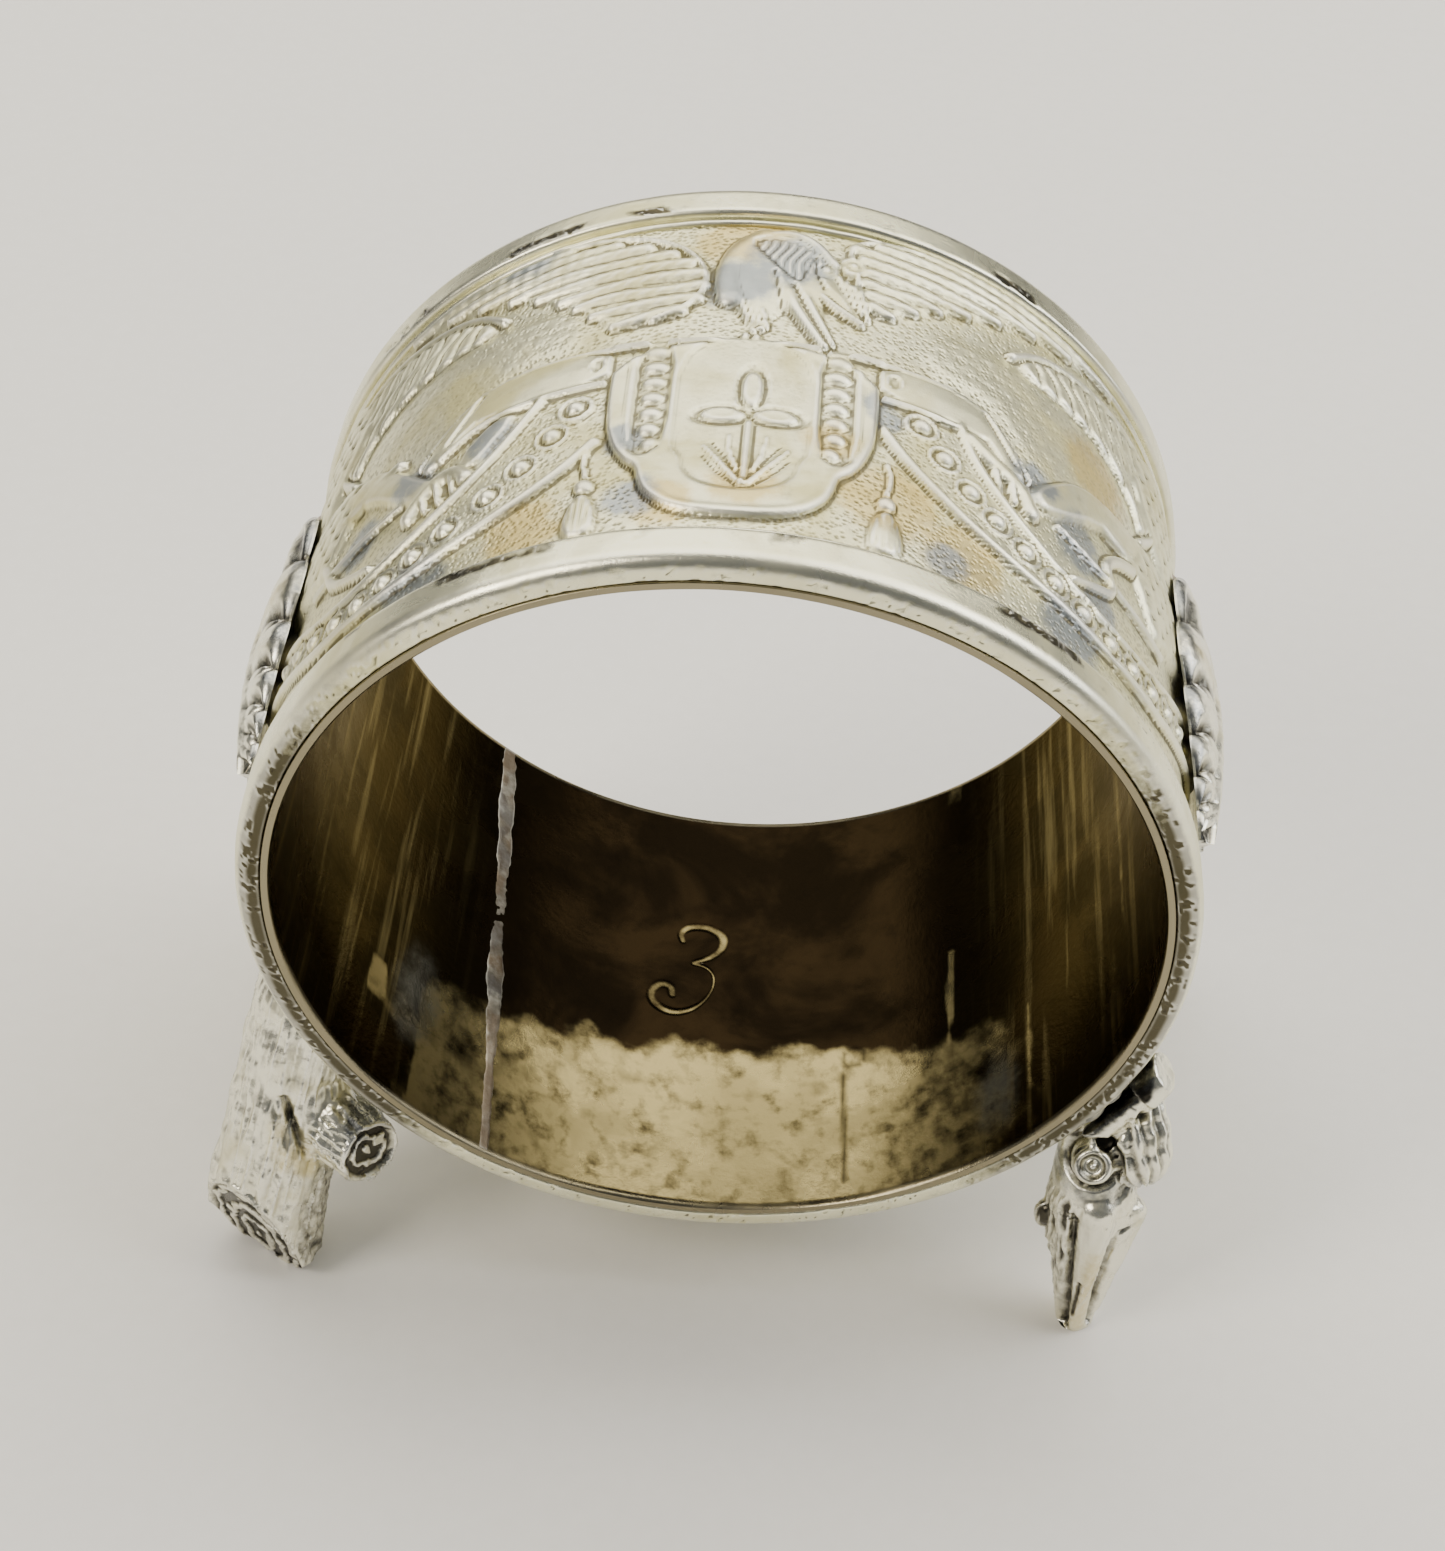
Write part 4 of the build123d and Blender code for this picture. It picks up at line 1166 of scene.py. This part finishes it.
def makeTwigFoot():
    f = twigFoot
    face, button = Vector(f["buttonFace"]).normalized(), Vector(f["button"])
    bm = bmesh.new()
    limb(bm, f["root"], f["fork"], 1.7, f["prong"])
    knuckle(bm, f["fork"], f["prong"], (1.0, 0.92, 1.0))
    limb(bm, f["fork"], f["tip"], f["prong"], f["tipRadius"])
    limb(bm, f["bladeTop"], f["bladeFoot"], 1.15, 0.78)
    knuckle(bm, f["bladeTop"], 1.15)
    # a round shell under the bar
    for k in range(4):
        at = Vector(f["shellRoot"]).lerp(Vector(f["shellEnd"]), k / 3)
        knuckle(bm, at, f["shellRadius"] * (0.84, 0.97, 1.0, 0.93)[k])
    limb(bm, f["barLow"], f["barHigh"], 0.55, 0.8)
    nub = limb(bm, (21.6, -12.5, 17.0), (23.0, -11.9, 18.5), 1.15, 0.95)
    saw(bm, nub, (22.75, -12.1, 18.2), (0.75, -0.1, 0.65))
    knuckle(bm, f["barLow"], 0.6)
    limb(bm, button - face * 1.6, button + face * 0.35, 1.0, 1.15)
    knuckle(bm, (18.0, -13.3, 7.7), 0.72, (0.9, 0.9, 1.3))
    limb(bm, f["facetTop"], f["facetFoot"], 1.15, 0.7)
    knuckle(bm, f["facetTop"], 1.1)
    for k in range(5):
        # knobbly bark down the inner side
        knuckle(bm, (18.65 + 0.24 * k, -13.6, 6.6 - 1.25 * k), 0.72 - 0.05 * k, (0.8, 0.9, 1.35))
    bm = melt(bm, f["voxel"], 6)

    def shape(co, nor):
        # the planed facet on the outer side catches the light
        co = shave(co, f["facetTop"], f["facetFoot"], (0.62, -0.72, 0.25), 0.50, 1.6)
        seen = co * (1, 0, 1)
        front = smooth((-13.4 - co[:, 1] - 0.1 * (8 - co[:, 2])) / 0.5) * (co[:, 2] < 10.2)
        left = nearLine(seen, (19.15, 0, 9.2), (19.65, 0, 0.2), 0.42) * front
        rightCut = nearLine(seen, (21.45, 0, 7.4), (21.15, 0, 0.4), 0.38) * front
        leftSide = smooth((19.4 - co[:, 0]) / 0.5)
        onFoot = smooth((10.6 - co[:, 2]) / 0.8)
        ridges = bark(co, f["fork"], f["tip"], 0.55, 4.0, 51)
        height = 0.17 * (ridges - 0.75) * onFoot * (0.25 + 0.75 * leftSide)
        pit = nearLine(co, (21.9, -14.6, 7.9), (22.8, -14.2, 8.2), 0.5)
        slot = nearLine(seen, (20.05, 0, 4.4), (19.95, 0, 1.6), 0.26) * front
        height -= 0.42 * left + 0.36 * rightCut + 0.45 * pit + 0.22 * slot
        height += 0.12 * nearLine(seen, (20.9, 0, 9.2), (20.3, 0, 4.0), 0.4) * front
        # ribs run over the shell from its root
        sAlong, sAway, sAcross, _ = aboutLimb(co, f["shellRoot"], f["shellEnd"])
        onShell = smooth((sAlong + 0.2) / 0.5) * smooth((2.7 - sAway) / 0.4) * smooth(
            (co[:, 2] - 10.2) / 0.5) * smooth((co[:, 0] - 20.9) / 0.5)
        turn = np.arctan2(sAcross[:, 1], sAcross[:, 0]) + 0.10 * grain(co * mm, 1.2, 2, 53)
        ribs = np.cos(turn * 13)
        pitted = smooth(grain(co * mm, 0.55, 2, 54) * 2.5) * smooth((21.9 - co[:, 0]) / 0.8)
        height += onShell * (0.11 * (ribs - 0.4) - 0.16 * pitted)
        # a hard groove under the bar
        under = nearLine(co, (19.9, -13.7, 13.6), (23.1, -12.6, 16.7), 0.42)
        height -= 0.42 * under
        # button: a sunk ring round a pearl
        bAlong, bAway, _, _ = aboutLimb(co, button - face, button + face)
        onButton = smooth((bAlong - 0.85) / 0.3) * (bAway < 1.6)
        height += onButton * (0.16 * np.cos(bAway * 2 * pi / 0.78) - 0.02 - 0.1 * smooth(
            (bAway - 0.95) / 0.3))
        moat = smooth(1 - np.abs(bAway - 1.42) / 0.34) * smooth((bAlong + 0.9) / 0.5)
        height -= 0.28 * moat
        height += 0.03 * grain(co * mm, 0.5, 2, 52)
        sunk = onButton * smooth(1 - np.abs(bAway - 0.62) / 0.24)
        behind = smooth((19.3 - co[:, 0]) / 0.5) * smooth((co[:, 2] - 12.6) / 0.8)
        aboveBar = smooth((co[:, 2] - 14.6 - 1.1 * (co[:, 0] - 19.6)) / 0.5) * smooth((22.3 - co[:, 0]) / 0.4)
        grimeAndShade = np.maximum.reduce([0.8 * aboveBar, onShell * 0.55 * smooth(-ribs / 0.8), 0.9 * left,
                                   0.7 * rightCut, pit, slot, 0.95 * under, 0.9 * moat, 0.8 * sunk,
                                   0.9 * behind,
                                   onShell * pitted * 0.7, 0.45 * leftSide * onFoot * (1 - ridges) * 2])
        gold = 0.75 * nearLine(seen, (20.6, 0, 6.6), (20.45, 0, 0.6), 1.5) * front
        blue = np.maximum(aboveBar, smooth((13.5 - co[:, 2]) / 2) * smooth((co[:, 2] - 9.5) / 1.5) * 0.6)
        return co + nor * height[:, None], {"grimeAndShade": grimeAndShade, "goldingAndSheen": gold, "blueing": blue}

    return finishCasting(bm, "front_right_twig_foot", shape, f["seat"])


frontLog = makeLogFoot()
turnedCopy(frontLog, "rear_right_log_foot")
frontTwig = makeTwigFoot()
turnedCopy(frontTwig, "rear_left_twig_foot")
print("feet cast", len(frontLog.data.polygons), len(frontTwig.data.polygons))

leaf = {
    "crown": 24.15, "edge": 23.25, "seat": 22.72, "middle": 3.6, "shift": -1.0, "half": 8.55,
    "columns": 330, "rows": 120,
    # its half height at places along it, and where it is notched between the leaflets
    "outline": ((-8.55, 0.25), (-8.2, 0.9), (-7, 1.6), (-6, 2.1), (-4, 3.15), (-2, 4.0), (0, 4.7),
                (3, 5.15), (5.5, 4.7),
                (7, 3.6), (8, 2.3), (8.4, 1.2), (8.55, 0.35)),
    "notches": (-8.9, -7.35, -5.75, -3.75, -1.1, 2.8, 8.9), "lean": 1.5,
}


def makeLeaf():
    # a long leaf with overlapping leaflets each side of its spine, cast as one
    f = leaf
    bm = flatGrid(f["columns"], f["rows"])
    back = bmesh.ops.extrude_face_region(bm, geom=bm.faces[:])["geom"]
    bmesh.ops.translate(bm, vec=(0, 0, -1), verts=[g for g in back if isinstance(g, bmesh.types.BMVert)])
    bmesh.ops.recalc_face_normals(bm, faces=bm.faces)
    flat = np.array([v.co for v in bm.verts])
    along = (flat[:, 0] * 2 - 1) * f["half"]
    across = np.sin((flat[:, 1] * 2 - 1) * pi / 2)
    out = np.abs(across)
    notches = np.array(f["notches"])

    def leaflet(place):
        # which leaflet a place is in, and how far through it from 0 to 1
        k = np.clip(np.searchsorted(notches, place) - 1, 0, len(notches) - 2)
        return (place - notches[k]) / (notches[k + 1] - notches[k])

    edgeRound = np.sqrt(np.sin(pi * np.clip(leaflet(along), 0.001, 0.999)))
    width = np.interp(along, *zip(*f["outline"])) * (0.80 + 0.20 * edgeRound)
    leaning = along - f["lean"] * (1 - out)
    through = np.clip(leaflet(leaning), 0.001, 0.999)
    swell = np.sqrt(np.sin(pi * through))
    crown = f["edge"] + (f["crown"] - f["edge"]) * (1 - (along / f["half"]) ** 2)
    thick = (crown - f["seat"] - 0.15) * (1 - out ** 2.6) ** 0.55 + 0.15
    spine = 0.2 * smooth(1 - np.abs(across * width) / 0.45) - 0.12 * smooth(
        1 - np.abs(np.abs(across * width) - 0.62) / 0.3)
    gully = (1 - swell) * smooth(out / 0.22)
    eye = smooth(1 - through * 3.2 * width / 4) * smooth(1 - np.abs(out - 0.74) / 0.24)
    vein = smooth(1 - np.abs(through - 0.55) * 9) * smooth(out / 0.2) * smooth((0.95 - out) / 0.2)
    hollow = smooth(1.15 - np.hypot((along - 4.7 - 3 * (0.75 - out)) / 1.7, (out - 0.75) / 0.17))
    knob = smooth(1 - np.hypot((along - 7.3) / 1.5, (out - 0.55) / 0.55))
    lumps = grain(np.stack((along, across * width, 0 * along), 1) * mm, 0.9, 3, 61)
    height = thick * (1 + 0.06 * knob) + spine - 0.30 * gully - 0.34 * eye
    height = height - 0.05 * vein - 0.36 * hollow + 0.035 * lumps
    height = np.clip(height, 0.12, 1.72)
    radius = np.where(flat[:, 2] > -0.5, f["seat"] + height, f["seat"])
    turn = pi / 2 - (f["middle"] + across * width) / 23.5
    for vert, t, r, a in zip(bm.verts, turn, radius, along):
        vert.co = (r * mm * sin(t), (f["shift"] + a) * mm, ring["height"] + r * mm * cos(t))
    bmesh.ops.recalc_face_normals(bm, faces=bm.faces)
    piece = finishPiece(bm, "right_leaf", castPlate, ["right_leaf"], 60)
    ageMesh(piece)
    addAttribute(piece, "grimeAndShade", np.maximum.reduce([eye, hollow * 0.8, 0.75 * smooth((gully - 0.25) / 0.5)]))
    addAttribute(piece, "blueing", np.maximum(0.8 * hollow, 0.7 * smooth((out - 0.82) / 0.12)))
    addAttribute(piece, "goldingAndSheen", 0.6 * smooth(1 - np.abs(along - 0.8) / 1.4))
    return piece


rightLeaf = makeLeaf()
turnedCopy(rightLeaf, "left_leaf", flip=True)
print("leaves cast", len(rightLeaf.data.polygons))


# solder that squeezed out under the castings

def ringPlace(angle, along, radius):
    # a place on the ring by its angle from the top, in mm from its middle and its axis
    turn = radians(angle)
    return Vector((radius * sin(turn), along, ring["height"] / mm + radius * cos(turn)))


def makeSolder(name, drops, seat, reach, seed, dark, voxel=0.11):
    # drops of solder (angle, along, size) that ran together between the band and a casting
    bm = bmesh.new()
    for angle, along, size in drops:
        knuckle(bm, ringPlace(angle, along, reach - 0.96 * size), size)
    bm = melt(bm, voxel, 6)
    piece = finishPiece(bm, name, solderMetal, [name], 70)
    co = coords(piece.data)
    lumps = grain(co * mm, 1.1, 3, seed)
    x, z = co[:, 0], co[:, 2] - ring["height"] / mm
    radius = np.hypot(x, z)
    fit = np.maximum(radius + 0.06 * lumps, seat) / radius
    co = np.stack((x * fit, co[:, 1], z * fit + ring["height"] / mm), 1)
    setCoords(piece.data, co * mm)
    ageMesh(piece)
    addAttribute(piece, "blueing", dark * smooth(0.7 + lumps))
    addAttribute(piece, "goldingAndSheen", (1 - dark) * smooth(0.2 - lumps * 1.5))
    return piece


logDrops = [(-121, -9.6, 2.6), (-128, -10.4, 2.0), (-113, -8.6, 2.0), (-134.5, -12.2, 1.35),
            (-129, -12.6, 1.5),
            (-122, -12.0, 1.8)]
twigDrops = [(119, -10.8, 2.2), (112, -11.2, 1.7), (125, -12.3, 1.5), (117.5, -13.0, 1.2),
             (121.5, -13.1, 1.15),
             (128, -13.0, 0.9)]
leafDrops = [(90 - 2.44 * (3.6 + up), -1 + along, size) for along, up, size in (
    (5.4, 1.0, 2.4), (3.2, 2.4, 2.1), (1.0, 1.4, 2.6), (-1.6, 0.9, 2.2), (-3.8, 0.4, 1.7), (6.1, 3.2, 1.5),
    (0.6, -1.4, 2.4),
    (4.4, -1.6, 2.2))]
logSolder = makeSolder("front_left_foot_solder", logDrops, 22.0, 23.1, 71, 1.0)
twigSolder = makeSolder("front_right_foot_solder", twigDrops, 22.0, 23.15, 72, 1.0)
leafSolder = makeSolder("right_leaf_solder", leafDrops, 22.0, 22.98, 73, 0.25)
turnedCopy(logSolder, "rear_right_foot_solder")
turnedCopy(twigSolder, "rear_left_foot_solder")
turnedCopy(leafSolder, "left_leaf_solder", flip=True)

seam = {"angle": 215.7, "skew": 0.0838, "width": 0.98, "proud": 0.035, "sunk": 0.22}


def makeSeam():
    # the joint inside the band, flooded with solder from end to end
    total = (ring["back"] - ring["front"]) / mm
    bm = bmesh.new()
    bmesh.ops.create_grid(bm, x_segments=14, y_segments=250, size=0.5)
    wall = bmesh.ops.extrude_face_region(bm, geom=bm.faces[:])["geom"]
    bmesh.ops.translate(bm, vec=(0, 0, 1), verts=[g for g in wall if isinstance(g, bmesh.types.BMVert)])
    flat = np.array([v.co for v in bm.verts])
    along = (flat[:, 1] + 0.5) * (total - 0.3) + 0.15
    edge = grain(np.stack((np.sign(flat[:, 0]) * 9, along, 0 * along), 1) * mm, 1.5, 3, 81)
    atEdge = np.abs(flat[:, 0]) > 0.3
    half = seam["width"] / 2 * (1 + 0.38 * edge * atEdge) * (0.6 + 0.4 * smooth((along - 4) / 8))
    across = flat[:, 0] * 2 * half
    crown = seam["proud"] * (1 - (flat[:, 0] * 2) ** 4) + 0.012 * grain(
        np.stack((across, along, 0 * along), 1) * mm, 0.5, 2, 82)
    radius = ring["bore"] / mm + np.where(flat[:, 2] > 0.5, -crown + 0.005, seam["sunk"])
    turn = np.radians(seam["angle"]) + (across + seam["skew"] * (along - total / 2)) / (ring["bore"] / mm)
    for vert, t, r, v in zip(bm.verts, turn, radius, along):
        vert.co = (r * mm * sin(t), ring["front"] + v * mm, ring["height"] + r * mm * cos(t))
    bmesh.ops.recalc_face_normals(bm, faces=bm.faces)
    piece = finishPiece(bm, "band_seam_solder", solderMetal, ["band_seam_solder"], 60)
    ageMesh(piece)
    lumps = grain(coords(piece.data), 1.8, 2, 83)
    back = smooth((ringPolar(coords(piece.data))[2] - 4) / 9)
    addAttribute(piece, "goldingAndSheen", np.maximum(1 - back, smooth(lumps * 2.2) * 0.8))
    addAttribute(piece, "blueing", back * smooth(0.4 - lumps * 2))
    addAttribute(piece, "grimeAndShade", 0.1 + 0.6 * back + 0.25 * lumps)


makeSeam()
print("solder run")


# camera, light and floor

camera = {"azimuth": 1.557, "elevation": 44.07, "roll": 3.0, "distance": 146.18, "lens": 65.97,
          "target": (-0.41, 0, -3.47)}
azimuth, elevation, roll = (radians(camera[k]) for k in ("azimuth", "elevation", "roll"))
back = Vector((sin(azimuth) * cos(elevation), -cos(azimuth) * cos(elevation), sin(elevation)))
right = Vector((cos(azimuth), sin(azimuth), 0))
up = back.cross(right)
side = cos(roll) * right + sin(roll) * up
top = -sin(roll) * right + cos(roll) * up
view = bpy.data.objects.new("camera", bpy.data.cameras.new("camera"))
view.data.lens = camera["lens"]
view.data.sensor_width = 36
view.data.clip_start = 0.005
target = Vector(camera["target"]) * mm + Vector((0, 0, ring["height"]))
view.matrix_world = Matrix.Translation(target + back * camera["distance"] * mm) @ \
    Matrix((side, top, back)).transposed().to_4x4()
bpy.context.scene.collection.objects.link(view)
bpy.context.scene.camera = view


def softbox(name, place, aim, size, power, colour="#ffffff"):
    light = bpy.data.objects.new(name, bpy.data.lights.new(name, "AREA"))
    light.data.shape = "RECTANGLE"
    light.data.size, light.data.size_y = size
    light.data.energy = power
    light.data.color = linear(colour)[:3]
    light.location = place
    light.rotation_euler = (Vector(aim) - Vector(place)).to_track_quat("-Z", "Y").to_euler()
    bpy.context.scene.collection.objects.link(light)


centre = (0, 0, ring["height"])
softbox("overheadBox", (0.05, 0.20, 0.42), centre, (1.15, 0.55), 5.9, "#fffaf0")
softbox("keyBox", (-0.30, -0.18, 0.32), centre, (0.16, 0.2), 1.2, "#fff6e8")
softbox("fillBox", (0.40, 0.02, 0.26), centre, (0.26, 0.36), 1.0, "#f4f5fb")
studio = {"world": "#8d8f92", "worldStrength": 0.56, "paperDark": "#e3e1da", "paperPale": "#e9e7e1",
          "paper": 1.2}
world = bpy.data.worlds.new("studio")
bpy.context.scene.world = world
world.use_nodes = True
world.node_tree.nodes["Background"].inputs["Color"].default_value = linear(studio["world"])
world.node_tree.nodes["Background"].inputs["Strength"].default_value = studio["worldStrength"]

bm = bmesh.new()
bmesh.ops.create_grid(bm, x_segments=8, y_segments=8, size=studio["paper"])
floorMesh = bpy.data.meshes.new("floor")
bm.to_mesh(floorMesh)
bm.free()
floor = bpy.data.objects.new("floor", floorMesh)
bpy.context.scene.collection.objects.link(floor)
floorPaper, floorTree, floorShader = startMaterial("paper_matt_pale")  # matt pale paper sweep
fibre = put(floorTree, "ShaderNodeTexNoise", {"Vector": put(floorTree,
                                                            "ShaderNodeTexCoord").outputs["Object"],
                                               "Scale": 900.0, "Detail": 3})
tone = put(floorTree, "ShaderNodeMix", {0: fibre.outputs["Fac"], 6: linear(studio["paperDark"]),
                                        7: linear(studio["paperPale"])},
           data_type="RGBA")
floorTree.links.new(tone.outputs[2], floorShader.inputs["Base Color"])
floorShader.inputs["Roughness"].default_value = 0.85
floorMesh.materials.append(floorPaper)

print("scene ready")
